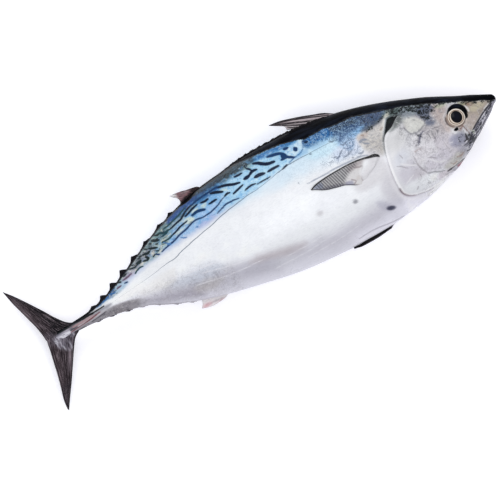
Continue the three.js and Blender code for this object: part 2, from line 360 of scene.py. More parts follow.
# Strokes drawn on the skin: colour, then (points (s, t), half width at the middle)
STROKES = [
    ("061b38", [
        ([(236, 34.6), (230, 35), (225, 35.1), (221.6, 35.3)], 0.5), ([(208.6, 36.4), (205.6, 37.2), (202.6, 37.9)], 0.6),
        ([(230.5, 54), (226, 52), (222, 49), (218, 47.2), (211.5, 46.2)], 1.55), ([(222, 40.4), (216, 40.9), (210, 40.8)], 1.3),
        ([(235, 41.6), (230, 41.6), (225, 40.6)], 1.6), ([(252, 51), (247, 50.6), (243.5, 50.9)], 0.95),
        ([(244.6, 44.7), (241.5, 44.9), (238.6, 45.7)], 1.5), ([(239, 45.5), (234.5, 47.6), (229.6, 47.3)], 1.2), ([(234.6, 48.6), (236, 51), (238.6, 53)], 0.9),
        ([(249, 35), (242, 36.6), (237, 36)], 0.85), ([(260.2, 37.4), (254, 39.2), (247.8, 40.8)], 0.95),
        ([(178.8, 48.6), (175.6, 47.7)], 1.0), ([(291, 44.4), (286.4, 44), (283, 44.6)], 1.1), ([(285, 40), (276, 40.5)], 0.9),
    ]),
    ("071a32", [
        ([(279, 48), (274, 46.6), (267.6, 43.8)], 1.35), ([(270.5, 49.8), (263, 48.2), (256, 45.6), (249.4, 44.1)], 1.25), ([(268.4, 39.2), (265, 40.4), (262, 40)], 0.9),
        ([(328.5, 36.6), (320, 38.6), (315, 40), (310.5, 42.6), (305, 45.4), (299, 47.2)], 0.9),
        ([(310, 40.2), (305, 41.6), (300, 43.6), (294.5, 45)], 0.95), ([(332.5, 30), (325, 31.6), (318, 34.2), (310, 35.7)], 0.75),
    ]),
    ("34689e", [([(180.6, 49.6), (181, 46.6), (183.4, 43.4), (187.6, 41.2), (193.6, 40.3), (200, 38.6)], 0.3)]),
    ("0d3764", [
        ([(216, 53), (210, 52), (205, 50.8), (201, 48.4), (199, 45.8)], 1.35), ([(205.6, 44.2), (200, 44.5), (197, 43), (193.4, 40.6)], 1.3),
        ([(202.6, 48.2), (202, 45.4)], 2.0), ([(199, 52), (194.4, 51.6)], 1.2), ([(189, 48.4), (188.6, 45.6)], 2.1),
        ([(304, 38), (297, 39), (290, 37.2)], 1.3), ([(300, 47), (292, 48.6), (283, 49.6), (274, 50.4), (268, 50)], 0.9), ([(180.2, 50.6), (176.5, 49)], 0.7),
    ]),
    ("1f3c68", [
        ([(345, 21.6), (338, 23.6), (330, 25.2), (322, 27.6), (315, 29.2), (309, 31.2), (303, 32.7), (296, 31.7)], 0.62),
        ([(296, 31.7), (287, 32.6), (280, 34.6), (274, 37), (268, 39.2)], 0.5), ([(282, 28.6), (275, 31), (270, 32.2), (262, 32.1), (257, 31.2)], 0.7),
        ([(389.8, 11.9), (386.4, 11.6)], 0.7), ([(352, 22.4), (348, 20.2)], 0.5),
    ]),
    ("20464f", [
        ([(333.5, 39.6), (327, 40.6), (322, 42.2), (315, 44.2), (309, 46.6), (305, 48.2)], 0.7), ([(341, 29), (334, 29.2), (329, 30.4)], 0.6),
        ([(376.6, 15.2), (373.4, 17.2), (369, 18.2), (366.8, 17.8)], 0.55), ([(340, 38.6), (334, 36.2), (329, 37)], 1.2), ([(338, 34), (332, 35)], 0.8),
    ]),
    ("1b2a2c", [
        ([(348.8, 35), (345.4, 33.6), (342, 32.4)], 1.4), ([(354.6, 29.8), (351, 28.4), (347, 27)], 1.1), ([(362.4, 27.2), (357.6, 26.4), (354.6, 27.4)], 1.2),
        ([(361, 24.6), (359, 22.2), (361.4, 20.8)], 1.1), ([(371.4, 22.8), (368.6, 22.6), (366.2, 23.6)], 1.4), ([(364.8, 21.8), (361.6, 21.4)], 0.8),
        ([(380, 21.6), (374.6, 20.6), (371.6, 21.4)], 0.7), ([(344.6, 38.6), (341, 37.2), (338.6, 38)], 0.9), ([(352.4, 33.8), (350, 32.6)], 0.6), ([(358.6, 31.6), (356.4, 30)], 0.6), ([(368.6, 26.4), (366, 25.4)], 0.6), ([(376.6, 24), (374.4, 23)], 0.5), ([(349.6, 24.6), (347, 23.8)], 0.5), ([(366.4, 27.6), (363.6, 26.6)], 0.8), ([(388, 17.8), (384, 19.2)], 0.8),
        ([(354.6, 21), (352.6, 22)], 0.7), ([(347, 30.6), (344.6, 29.6)], 0.7), ([(396, 15.4), (392, 14.6)], 0.8),
    ]),
    ("6c566c", [([(398.6, 10.8), (396.2, 11.2), (393.8, 11.6)], 0.6), ([(390, 15), (385, 15.8), (379.6, 17.2)], 0.75)]),
    ("4f7fb6", [([(340, 29), (337, 26.4), (334.4, 24.4)], 0.35), ([(336.8, 25.2), (335, 24.2), (333.6, 24.6)], 1.0), ([(331, 27.6), (328.6, 25.4)], 0.3), ([(323, 24.8), (320, 22.6), (317.6, 22.2)], 0.3), ([(306, 26.6), (303.4, 25.8)], 0.3)]),
    ("3f6fa6", [([(424, 4.6), (418, 5.6), (412, 6.6)], 0.5), ([(413.6, 9), (410.4, 7.4)], 0.9), ([(421, 6.4), (417, 8.4)], 0.8), ([(408, 10.4), (404, 8.6)], 0.5)]),
]
HEAD_DARK = [
    ("2b2a2e", [
        ([(1, -0.6), (8, -1.4), (13, -4.7), (20, -8.3), (26, -11.8), (31, -14.8), (35, -17.6), (38, -20.2)], 0.92),
        ([(40.6, -15.8), (42, -19), (41, -22.6)], 1.0), ([(36.4, -19.8), (39, -21.6), (42.4, -23), (40.6, -25.8)], 0.9),
        ([(47, -30.9), (43, -30.5), (38, -27.8), (33, -25.2)], 0.95), ([(31.5, -24), (28, -22), (24.6, -20.2)], 1.1), ([(45.6, -21.6), (41, -20.6)], 0.7),
        ([(21, -17.4), (14, -12.8), (9, -9)], 0.5), ([(72.4, -38.4), (66, -37.8), (60, -36.9), (55, -36.1), (51.6, -35.9)], 0.55),
        ([(38.6, -24.4), (36.4, -25.4), (35, -24.8)], 0.7), ([(30, -17.6), (27.6, -17.2), (25, -15.2)], 0.7), ([(36, -22.8), (32.4, -20.4)], 0.5),
    ]),
]
HEAD_DARK.append(("8e3f4c", [([(61.6, -39.0), (60, -38.7), (57, -38.1), (54.6, -37.6)], 0.5)]))
HEAD_DARK.append(("7a5a50", [([(40.4, -6.4), (39.2, -11), (38.3, -15), (37.8, -18.6)], 0.28), ([(44.4, -8.6), (42.4, -8.9), (40.4, -8.2)], 0.35)]))
HEAD_DARK.append(("55566a", [([(85.4, -4.4), (82.4, -0.6), (80.4, 2.4), (77.6, 4.4), (75, 5.8)], 0.5), ([(81.8, 0.6), (79.4, 3.6)], 1.0)]))
HEAD_LINES = [
    ("474757", [
        ([(88.4, 0.4), (84.6, 0.8), (80.6, 2.8)], 0.3),
        ([(82.8, 6.4), (81, 4.4), (79.2, 2.4), (78.6, 0)], 0.3), ([(87.4, -2.8), (84, -0.6), (81, 2)], 0.45), ([(89.4, -4.6), (86.8, -3.2)], 0.35),
    ]),
    ("66666d", [
        ([(90.2, 16), (88.4, 11.2), (86, 8.2), (82, 7), (78, 7.5), (74.4, 9), (70.6, 10.6)], 0.55), ([(70.6, 10.6), (69.4, 14.4), (70.6, 18.2), (72.6, 20.4)], 0.5),
        ([(68.6, 2.4), (68.8, -3), (68.1, -7.6)], 0.4), ([(94, 17.6), (92.4, 16.4)], 0.8), ([(82.2, 23.6), (81, 22.4)], 0.7), ([(79, 19), (77.6, 18)], 0.5),
        ([(90.4, -32), (85, -33), (81, -34.9), (78, -36), (74.6, -36.5)], 0.7), ([(64.6, 4), (63.6, -1), (65, -4)], 0.3), ([(74, 2), (72, -1), (72.6, -4)], 0.3),
    ]),
    ("918b92", [
        ([(94.2, -13), (94.7, -20), (92.9, -25.4), (90.6, -30), (89, -32)], 0.5), ([(76, -40.6), (70, -40.2), (65, -41)], 0.45),
        ([(107.4, -44.3), (103, -45.4), (97, -46.1), (92, -46.3)], 0.6), ([(84, -18.4), (80, -20.4), (76, -23)], 0.35), ([(106, -40), (103.6, -38.4)], 0.35),
        ([(104.4, -8), (105.4, -4)], 0.4), ([(113, -12), (108, -15), (104, -19)], 0.3),
    ]),
    ("8d6a5e", [ ([(43.4, -6.6), (41.6, -8.6), (43.6, -10.2), (46.4, -9.8)], 0.4),
        ([(66.4, -33), (64.6, -34.6), (61.6, -34.6), (60.4, -33.6)], 0.3), ([(27.6, 9.4), (25.6, 7.4), (24.6, 5.4)], 0.6),
        ([(58.6, -30.4), (55, -31.4), (51.6, -30)], 0.5), ([(91.6, -8.4), (87.4, -7.8), (84.8, -8.8)], 0.35),
    ]),
    ("8b787e", [([(119.9, -31.5), (119.3, -36.6), (116, -41), (112.4, -43), (109, -44)], 0.8)]),
    ("5b5b5c", [([(120, -32.4), (119.6, -35.4)], 0.5)]),
    # white marks: pale skin marks along the gill cover's edge, cheek and jaws, and painted highlights at the front rim
    # of the eye (28.6, 1.4) and the end of the upper jaw (46.4, -28)
    ("f3f2f4", [
        ([(116.3, -1), (117.5, -9), (118.3, -18), (118.6, -28), (118, -34)], 0.7), ([(82.4, -21.6), (79, -24.4), (76, -26.8), (72, -28.2), (69, -28.6)], 0.6),
        ([(108.6, -11.6), (104, -15.2), (100, -18.2), (95.8, -20.2)], 0.55), ([(46.4, -28), (44.8, -30)], 0.9), ([(8.4, -0.4), (12, -2.2), (14.6, -3.4)], 0.5),
        ([(41.3, -8.4), (40.3, -13), (39.5, -17.2)], 0.55), ([(28.6, 1.4), (28.4, 4), (29.6, 7.8)], 0.6), ([(51.4, -8.4), (49.2, -10.6)], 1.0), ([(87.4, 4.4), (84, 3.6)], 1.4),
        ([(112, -30.4), (107, -28.6), (102.6, -26.4)], 0.4), ([(58.6, -16), (56, -17)], 0.3),
    ]),
    ("d3dcc4", [([(35, -16.4), (32.4, -17.6)], 0.8), ([(34.4, -19.3), (32.6, -18.9)], 0.6), ([(14.2, 6.4), (20, 8.6)], 0.6), ([(27.4, 12), (22, 10.2)], 0.5)]),
    ("dcd9cf", [([(113.6, 16), (110.4, 22), (106.4, 27), (102.4, 32), (97.4, 34)], 0.7)]),
]
JAW_LINES = []
rng = np.random.default_rng(7)
for _ in range(150):
    s0, f, run = rng.uniform(2, 43), rng.uniform(0.04, 0.97), rng.uniform(1.5, 6)
    pts = [(x, float((1 - f) * np.interp(x, MOUTH[:, 0], MOUTH[:, 1]) + f * belly(x) + rng.normal(0, 0.35))) for x in (s0, s0 + run / 2, s0 + run)]
    JAW_LINES.append((str(rng.choice(["1c1b22", "25242d", "3b3a46", "6f6d7a", "c3c1cd", "e6e4ec"])), [(pts, float(rng.uniform(0.12, 0.42)))]))
BODY_LINES = [
    ("3d4c66", [
        ([(155.6, 22), (152.4, 24.4), (150.6, 25.6)], 0.75), ([(159, 20.4), (155.2, 21.8)], 0.6), ([(151.4, 18.6), (147, 19.4), (142.8, 21.6)], 0.55),
        ([(157.6, 38.6), (155.6, 36.6), (153.4, 37.6)], 0.5), ([(151.6, 42.6), (150.4, 41)], 0.7), ([(147, 37.6), (144.4, 38.8)], 0.7), ([(146, 14.7), (144.8, 13.8)], 0.8),
        ([(179.6, 36.4), (177.6, 36)], 0.7), ([(149.6, 31), (147.6, 29.4), (144, 29.8)], 0.4), ([(201.6, 18), (201.2, 16.6)], 0.4), ([(161, 23), (158.8, 22.4)], 0.5),
    ]),
    ("6d788c", [([(125, 19.1), (127.6, 20.2), (130.4, 22.2)], 0.8), ([(126, 23.6), (130, 24.8), (133, 24)], 1.3), ([(139, 15.6), (135.6, 14.4), (133, 15.6)], 0.9), ([(141.6, 12.8), (136, 11.6)], 0.6)]),
    # grey line in the groove over the pectoral fin: painted shade in the groove
    ("8a94a8", [([(131.6, 9.8), (137, 11.7), (145, 12.4), (155, 13), (165, 13.3), (175, 13), (185, 13.1), (192.6, 12.6), (194.4, 13.4)], 0.62)]),
    ("8c7566", [([(110.8, 25), (107, 26.6)], 0.5), ([(128.6, 29.6), (126.4, 27.8)], 0.5)]),
    # grey line along the fold where the pelvic fins fold away: painted shade in the fold
    ("a19da8", [([(128, -56.5), (142, -56.2), (160, -54.5), (176, -55.5)], 0.3)]),
    ("eeedf3", [([(176, -39), (200, -41), (228, -43), (258, -43)], 0.22), ([(186, -33), (214, -37.4), (244, -38)], 0.2), ([(250, -26), (286, -22), (322, -14)], 0.25), ([(262, -30), (296, -28), (330, -22)], 0.22), ([(168, -44), (196, -47), (226, -48)], 0.2), ([(300, -12), (330, -8), (356, -4)], 0.25)]),
]
STEM_LINES = [
    ("74464d", [([(423, -1.0), (430, -2.0), (440, -3.2), (450, -4.2), (456, -4.7)], 0.36)]),
    ("131317", [([(428, 1.3), (434, 1.3), (442, 1.2), (452, 0.9), (466, 1)], 1.2), ([(417, 2.2), (422, 1.8), (427, 1.5), (433, 1.3)], 0.5), ([(441, -6.9), (446, -7.1), (454, -7.6)], 0.5)]),
    ("a68a8e", [([(430, -0.6), (440, -1.3), (452, -2.0)], 0.4)]),
    ("55525a", [([(418, -3.4), (426, -4.4), (434, -5.2)], 0.35), ([(448, -3.0), (456, -3.4)], 0.5)]),
]


def draw(st, groups, wide=1.0):
    """Signed distance to the nearest stroke (below 0 is inside it) and that stroke's colour; strokes thin towards their ends."""
    out = np.full(len(st), FAR)
    col = np.tile(hexa("808080"), (len(st), 1))
    for colour, lines in groups:
        c = hexa(colour)
        for points, half in lines:
            if half <= 0:
                continue
            d, u = distance(st, curve(points), 6)
            d = d - wide * half * (0.5 + 0.5 * np.sqrt(np.clip(4 * u * (1 - u), 0, 1))) - (0.16 if half < 0.7 else 0)
            m = d < out
            out[m] = d[m]
            col[m] = c
    return out, col


def paint(s, t, w, p3):
    """Colour and masks of the skin. Every zone is a named shape with a soft edge."""
    n = len(s)
    st = np.stack([s, t], -1)
    side = np.where(w >= 0, 0, 1)
    wob = np.stack([0.9 * fbm(p3, 9, 31), 0.9 * fbm(p3, 9, 57)], -1)
    shift = np.stack([3.0 * side, 1.2 * side], -1)  # the other flank's pattern isn't an exact mirror
    q = st + wob * 0.4 + shift * sm(150, 180, s)[:, None] * (1 - sm(380, 420, s))[:, None]
    big, mid, fine = fbm(p3, 26, 5), fbm(p3, 8, 6), fbm(p3, 2.6, 7, 2)
    col = np.tile(hexa("f7f9fc"), (n, 1))

    def lay(mask, colour, amount=1.0):
        nonlocal col
        k = (np.clip(mask, 0, 1) * amount)[:, None]
        col = col * (1 - k) + hexa(colour) * k

    def zone(points, soft, colour, amount, ragged=0.0):
        lay(region(st + ragged * wob, points, soft), colour, amount)

    top, low, c = back(s), belly(s), widest(s)
    lat = LAT_T(np.clip(s, 128, 440))
    tail = sm(300, 380, s)

    # belly: lavender below the white flank, partly the belly's own tint and partly painted shade where the body turns
    # down; paler again at the very edge, painted light bounced up from the floor
    white_end = np.interp(s, [60, 100, 130, 150, 200, 235, 260, 300, 320, 350, 380, 420], [-20, -37, -33, -35, -38, -33, -26, -17, -13, -11, -6, -2])
    b = sm(7, -9, t - white_end + 2.5 * big)
    lay(b * (1 - sm(232, 262, s)), "d3d1db", 0.95)
    lay(b * sm(232, 262, s), "bfbdc8", 0.95)
    # painted light: paler belly edge, as if lit from the white floor below
    lay(sm(15, 0, t - low) * b * (1 - 0.75 * tail), "e2e1ea", 0.8)
    zone([(268, -24), (245, -29), (222, -34), (232, -39), (255, -34), (277, -27)], 4, "ad9fa2", 0.4, 2)
    zone([(312, -9), (340, -7), (352, -9), (342, -17), (318, -22), (300, -18)], 6, "ccd2df", 0.75, 2)
    zone([(335, -24), (360, -17), (385, -11), (405, -8), (385, -14), (350, -26), (328, -34)], 4, "a5a1ad", 0.7, 1)
    zone([(340, 3), (372, 2), (384, -3), (372, -8), (348, -9)], 3, "ebe9e6", 0.6, 1)
    zone([(318, -21), (335, -24), (322, -32), (305, -28)], 4, "b8b0a8", 0.35, 1)
    # flank under the blue
    up = sm(-4, 10, t - (lat - np.interp(s, [150, 200, 240, 285], [22, 20, 9, 4])) + 2 * mid) * sm(140, 175, s) * (1 - sm(240, 300, s))
    lay(up, "dceaf4", 0.85)
    lay(sm(-8, 6, t - (lat - 9) + 2 * mid) * sm(150, 175, s) * (1 - sm(205, 240, s)), "cfe3f0", 0.85)
    lay(sm(-6, 3, t - lat + 1.2 * mid) * sm(215, 240, s) * (1 - sm(262, 280, s)), "c3def0", 0.8)
    over = t - BLUE_T(s) + 1.5 * mid
    lay(sm(-4.5, 1.5, over) * sm(250, 270, s) * (1 - sm(385, 405, s)), "ccd6ec", 0.9)
    lay(sm(0.0, 5.0, over) * sm(258, 276, s) * (1 - sm(345, 375, s)), "a3c8ee", 0.9)
    lay(sm(-0.5, 3.5, t - lat + 0.8 * mid) * sm(180, 186, s) * (1 - sm(262, 285, s)), "b0daf2", 0.95)
    zone([(286, 30), (300, 29), (304, 25), (292, 24.6), (284, 27)], 2, "b7bbe2", 0.6, 1)
    zone([(262, 50), (275, 51), (290, 50), (306, 47), (318, 44), (330, 40.5), (334, 37), (320, 35), (306, 37), (292, 37), (280, 40), (268, 42)], 3, "78aede", 0.7, 1.5)
    zone([(268, 51), (285, 51.5), (300, 49.5), (314, 46.5), (308, 44.6), (296, 46), (284, 47), (272, 46.6)], 2, "2b66ac", 0.85, 1)
    # pale front of the pattern, saturated upper edge, pale rim of the front end
    zone([(180, 52.4), (183, 48.5), (184.6, 44), (190, 40.8), (199, 40.4), (202, 46), (196, 51), (188, 53)], 1.5, "d6edf8", 0.85)
    zone([(184, 55), (200, 57.6), (216, 58.6), (232, 59.4), (231, 55.4), (214, 55.2), (204, 54), (196, 52.4), (186, 52.4)], 1.6, "1f639c", 0.9, 1)
    zone([(206, 42), (222, 44), (236, 44), (236, 38), (220, 36.5), (207, 38)], 2.5, "c2e4f4", 0.6)
    # shoulder
    cors = region(st + 2 * wob, [(96, 42), (120, 49), (150, 52), (176, 53), (179, 50), (180.6, 46), (176, 41.5), (160, 40), (152, 30), (145, 22), (138, 24), (132, 31), (124, 33), (112, 33), (100, 34.5)], 2.0)
    lay(cors, "6689b3", 0.9)
    zone([(158, 52), (176, 53), (179.6, 49.6), (180.6, 45), (178, 42), (168, 42.6), (154, 40.5), (148, 44), (150, 51)], 2.4, "2569a8", 0.92, 1.5)
    zone([(122, 49), (150, 51), (150, 43), (143, 38.5), (130, 37), (121, 40)], 3, "33496c", 0.88, 1.5)
    zone([(110, 46), (134, 49.6), (152, 50), (150, 46), (138, 43.6), (124, 42.5), (110, 42)], 2, "272e3e", 0.92, 2)
    zone([(100, 42.5), (112, 45), (122, 44), (122, 36), (112, 33), (102, 35.5)], 2.0, "464c62", 0.9, 1.5)
    zone([(122, 36), (136, 37), (140, 32), (134, 30), (126, 31)], 2, "7fb0dc", 0.8, 1.5)
    zone([(150, 40), (162, 41), (182, 41), (186, 37), (176, 30), (160, 27), (152, 30)], 3, "c6e4f2", 0.85, 1.5)
    zone([(132, 30), (146, 31), (158, 28), (160, 18), (148, 16), (138, 15), (133, 20)], 4, "c7d5ea", 0.75, 2)
    zone([(100, 34.5), (106, 33.6), (118, 31.4), (126, 31), (133, 30), (133, 20), (130, 12), (124, 6), (119, 3), (115, 10), (111, 20), (105, 29)], 2.0, "cdc8c1", 0.9, 1)
    zone([(103, 35.6), (112, 35), (124, 34.6), (127, 31.8), (120, 30.4), (110, 31), (104, 32.6)], 1.6, "4a515f", 0.85, 1)
    zone([(178, 43.4), (190, 42), (193, 38.8), (181, 38.4)], 1.5, "8ab6dc", 0.6, 0.8)
    zone([(154, 42.6), (175, 43), (175, 38.4), (160, 37.6)], 2, "97c2e4", 0.6, 1.2)
    zone([(194, 56.4), (224, 58), (224, 54.4), (202, 52.8)], 1.4, "2a66a6", 0.6, 0.8)
    zone([(121, 30), (132, 29.5), (132, 26), (124, 25.5)], 1.8, "c0ab9d", 0.6)
    zone([(134, 14), (124, 11), (119, 2), (121, -12), (136, -18), (152, -18), (156, -8), (136, 4)], 4, "dbd9dd", 0.8, 1)
    zone([(119, -14), (128, -15), (136, -22), (134, -34), (124, -38), (120, -26)], 4, "d3d0d7", 0.7, 1)
    # dark green-grey under the black back, then deep blue, black wedge under the second fin
    g = sm(-12.5, -7, t - top + 1.0 * mid + np.interp(s, [222, 234, 262, 290], [-4, 0, 0, -3])) * sm(220, 234, s) * (1 - sm(288, 302, s))
    lay(g, "27363b", 0.93)
    zone([(228, 55), (240, 55), (238, 50.8), (230, 51.5)], 1.4, "8fb2ae", 0.6, 1)
    lay(sm(-15, -9, t - top + 1.2 * mid) * sm(258, 270, s) * (1 - sm(335, 350, s)), "2d5a88", 0.8)
    lay(sm(-9, -4.5, t - top + 1.2 * mid) * sm(262, 290, s) * (1 - sm(325, 345, s)), "1e3d68", 0.92)
    zone([(298, 50), (318, 46.6), (330, 42.6), (322, 42.4), (306, 46), (296, 48.6)], 1.4, "2b56a0", 0.8)
    zone([(258, 62), (284, 60), (302, 56), (306, 52.4), (292, 53.2), (276, 54.4), (262, 54)], 1.8, "2a3a43", 0.8, 1)
    zone([(286, 53), (308, 51.6), (326, 47), (336, 43.6), (328, 43.2), (310, 47), (296, 50)], 1.6, "1c4482", 0.75, 1)
    # cream patches between the rear strokes
    for pts, k in (
        ([(286, 43.2), (292, 42), (293, 38.6), (288, 39.6)], 0.75), ([(295, 43), (303, 41.4), (302, 39.4), (296, 40.6)], 0.7), ([(262, 45.6), (268, 47.4), (270, 45.4), (263, 42.6)], 0.6),
        ([(303, 36.6), (310, 38.8), (314, 35.4), (308, 32.2), (303, 34)], 0.8), ([(311, 42.6), (322, 40.2), (334, 38), (333, 35.6), (322, 36.2), (312, 39.4)], 0.6),
        ([(314, 33.4), (326, 30.6), (326, 28), (315, 30.6)], 0.5), ([(334, 33.4), (345, 30.4), (346, 25), (336, 26)], 0.75), ([(296, 46.4), (306, 43.8), (304, 43), (296, 44.8)], 0.5),
        ([(307, 45.6), (320, 42.2), (330, 39.8), (318, 41.4), (308, 44.4)], 0.45),
    ):
        zone(pts, 1.3, "e7eed6", k, 0.8)
    # mottled rear of the back
    m = region(st + wob, [(328, 44.5), (345, 39.5), (365, 30.5), (385, 21.5), (406, 13.4), (400, 12), (384, 16.4), (372, 19), (352, 19.6), (340, 25), (328, 33)], 2.2)
    lay(m, "8fa6a4", 0.75)
    zone([(352, 34), (366, 28), (378, 22), (390, 18), (398, 15), (392, 13.6), (376, 17), (362, 21), (350, 25)], 2, "9a98a4", 0.75, 1)
    zone([(330, 45), (345, 40), (362, 32), (356, 30), (342, 36), (328, 40)], 2, "5f7f80", 0.6, 1)
    for a, b2, r in ((353.4, 23.6, 2.7), (343.6, 26.4, 2.2), (367, 19.6, 2), (338, 29.8, 2), (374, 17.8, 1.5)):
        lay(bump(np.hypot(s - a, (t - b2) * 1.3), r), "efe6cf", 0.85)
    zone([(390, 17), (408, 13), (424, 7), (423, 3.6), (408, 5.4), (394, 8), (386, 10.8)], 1.6, "a5c3da", 0.75, 1)
    zone([(400, 13), (414, 9.8), (424, 5.6), (424, 3.6), (412, 5.6), (402, 8)], 1.4, "2f5a92", 0.85, 1)
    zone([(378, 20.6), (392, 18), (396, 15), (384, 13.8), (376, 16)], 1.6, "b3adc4", 0.6, 1)
    zone([(398, 15.6), (394, 17.4), (388, 18.6), (392, 15.4)], 1.0, "7fae9f", 0.6)
    zone([(356, 38), (350, 36.5), (338, 36.5), (336, 42), (345, 40)], 1.6, "7fa3a3", 0.6, 1)
    # stem of the tail: grey and black above the keel, pink on it, grey-olive below
    lay(sm(1.6, 3.2, t) * sm(422, 432, s), "70757a", 0.8)
    zone([(410, 1.6), (424, 1.4), (438, 0.4), (436, -1.2), (420, -0.6), (410, -0.4)], 1.4, "9a989f", 0.7, 0.4)
    zone([(404, -5), (420, -3.6), (434, -5.4), (432, -8.6), (418, -9.4), (402, -11)], 1.4, "6a676b", 0.8, 1)
    zone([(386, -8), (404, -4), (418, -3.4), (420, -9), (402, -12), (388, -14.6)], 2.2, "767276", 0.7, 1)
    lay(sm(1.6, 0.2, t - low) * sm(325, 350, s) * (1 - sm(440, 450, s)) * (0.6 + 0.8 * mid), "5d5862", 0.7)
    lay(sm(-0.9, -0.1, t - top) * sm(405, 425, s), "17171b", 0.9)
    lay(bump(t + 1.5, 1.5) * sm(416, 428, s) * (1 - sm(456, 466, s)), "b3a09f", 0.85)
    lay(bump(t + 5.2, 1.3) * sm(430, 442, s) * (1 - sm(460, 470, s)), "b9b1b6", 0.8)
    under = np.interp(s, [360, 370, 380, 390, 400, 410, 420, 445], [-17, -12.5, -8.5, -5.4, -3.2, -2.2, -2.2, -4.5])
    lay(sm(1.4, -1.4, t - under + 0.7 * mid) * sm(372, 400, s) * (1 - sm(448, 458, s)), "7b767b", 0.85)
    lay(sm(446, 456, s) * sm(-0.4, -1.6, t), "aaa7b3", 0.85)
    lay(sm(446, 456, s) * sm(-1.0, -2.2, t) * sm(0.05, 0.4, fbm(p3 * np.array([0.35, 1.6, 1.6]), 3.0, 71)), "55515b", 0.7)
    lay(sm(448, 458, s) * sm(-2.0, -3.2, t) * sm(0.1, 0.45, fbm(p3 * np.array([0.35, 1.6, 1.6]), 2.4, 72)), "ecebf2", 0.8)
    lay(sm(446, 456, s) * sm(-1.6, -0.4, t), "131317", 0.95)
    lay(sm(458, 470, s) * sm(-3.5, -1.5, t), "4a4650", 0.75)
    lay(bump(t + 0.2, 2.6) * sm(408, 416, s) * (1 - sm(428, 436, s)), "85868e", 0.6)
    lay(bump(t + 0.3, 1.7) * sm(434, 440, s) * (1 - sm(452, 458, s)), "454049", 0.65)

    # ---- head
    h = 1 - sm(94, 108, s)
    cover = sm(2, -3, e_signed(st))
    lay(cover, "cfcfd3", 0.95)
    zone([(58, 30), (78, 35), (92, 36), (101, 33), (96, 25), (88, 26), (76, 20), (66, 20)], 3, "7f8a92", 0.85, 1.5)
    zone([(84, 37), (94, 40), (102, 38), (102, 33), (94, 32.4), (86, 32)], 1.6, "4a5a56", 0.8, 1)
    zone([(96, 36.6), (102, 36), (101, 33.4), (96, 33.4)], 0.9, "dcdccd", 0.8)
    zone([(44, 16), (52, 22), (62, 22), (64, 6), (60, -6), (52, -6), (52, 6)], 3, "bcaea9", 0.95, 1)
    zone([(48, 21), (44, 17.6), (52, 17), (55, 20.6)], 1.6, "aebb9c", 0.55)
    zone([(4, 1.5), (14, 5), (24, 9.6), (34, 13), (32, 2), (36, -8), (34, -16), (24, -9), (14, -4), (6, -1)], 1.6, "b3a699", 0.95)
    zone([(12, 3), (22, 6), (28, 3), (24, -1), (14, 0)], 2, "cbc3a6", 0.7)
    zone([(30, -2), (38, -7), (37, -14), (31, -13), (26, -9), (24, -4)], 2.2, "c9bcb6", 0.7)
    zone([(19, 6), (27, 11), (31, 11.6), (30, 9), (24, 5.4)], 1.4, "85745a", 0.7, 0.6)
    zone([(29, 12), (34, 14.4), (33, 10), (28, 8.6)], 1.4, "9aa083", 0.6)
    zone([(60, 16), (74, 20), (78, 8), (76, -6), (62, -10), (56, -4)], 4, "b9b5b8", 0.85, 1)
    zone([(58, 26), (70, 27), (74, 22), (71, 14), (68, 8), (62, 8), (62, 16), (57, 20)], 2.2, "5c6479", 0.85, 1.5)
    zone([(88.4, 23.4), (80.6, 22.8), (73.4, 17.4), (70, 10.8), (77, 8), (85.4, 8.8), (88.8, 14)], 1.5, "d6d6d0", 0.9, 0.5)
    zone([(89, 25.6), (98, 24), (97, 19), (90, 20), (84, 25)], 2, "a8aeac", 0.7, 1)
    zone([(95, 19), (108, 17.6), (113, 8), (114, -4), (104, 0), (94, 6), (91, 12)], 3, "dcdcdd", 0.85, 1)
    zone([(58, -6), (70, -6), (72, -18), (64, -28), (52, -26), (50, -14)], 4, "bdb8bf", 0.85, 1)
    zone([(44, -12), (56, -12), (58, -20), (50, -24), (43, -22), (42, -16)], 2.4, "8f90a4", 0.8, 1)
    zone([(44, -22), (54, -24), (56, -33), (50, -33), (45, -28)], 2.4, "a9a7b3", 0.8, 1)
    zone([(50, -30), (58, -27), (70, -29), (74, -34), (68, -37.6), (58, -36.6)], 2, "adaaa2", 0.7, 1)
    zone([(73, 6), (88, 4), (90, -8), (78, -10), (70, -4)], 3, "c9c7cb", 0.7, 1)
    zone([(76, -8), (92, -8), (93, -20), (84, -20), (74, -18)], 4, "c8c5ca", 0.8, 1)
    zone([(66, -18), (84, -20), (92, -28), (84, -32), (72, -32), (60, -27)], 3, "c1bdc6", 0.8, 1)
    zone([(100, -1), (110, -3), (113, -12), (104, -13), (97, -8)], 3, "cbced7", 0.6)
    zone([(96, -12), (108, -15), (116, -20), (112, -32), (96, -28)], 4, "c2bfc8", 0.8, 1)
    zone([(94, -22), (104, -24), (104, -34), (92, -32)], 3, "bab5bc", 0.6, 1)
    zone([(82, -36), (96, -32), (112, -32), (117, -35), (112, -41), (98, -43), (84, -41)], 2.5, "d9dbde", 0.9, 1)
    zone([(66, -38), (80, -37), (84, -41), (76, -43), (68, -41)], 1.8, "c6bcc4", 0.6)
    zone([(56, -37.4), (64, -38.6), (73, -39.8), (72, -42), (62, -41), (54, -38.8)], 1.2, "8b8996", 0.6)
    # strip of the jaws
    jaw = sm(-0.6, 0.6, np.interp(s, MOUTH[:, 0], MOUTH[:, 1]) - t) * (1 - sm(41, 47, s + 0.3 * (t + 24)))
    lay(jaw, "9594a2", 0.9)
    zone([(36, -16), (43, -16), (43.4, -24), (47, -31), (40, -29), (34, -24)], 1.6, "7c7c88", 0.6, 0.5)
    zone([(3, -3.4), (12, -8), (22, -15), (32, -22), (44, -30), (48, -32.6), (36, -27.4), (22, -19.4), (10, -11)], 1.2, "6a6975", 0.7)
    lay((1 - sm(1.5, 6.5, np.abs(w))) * sm(-8, -12, t - 0.0 * s) * sm(8, 16, s) * (1 - sm(60, 74, s)), "b4b1bc", 0.6)
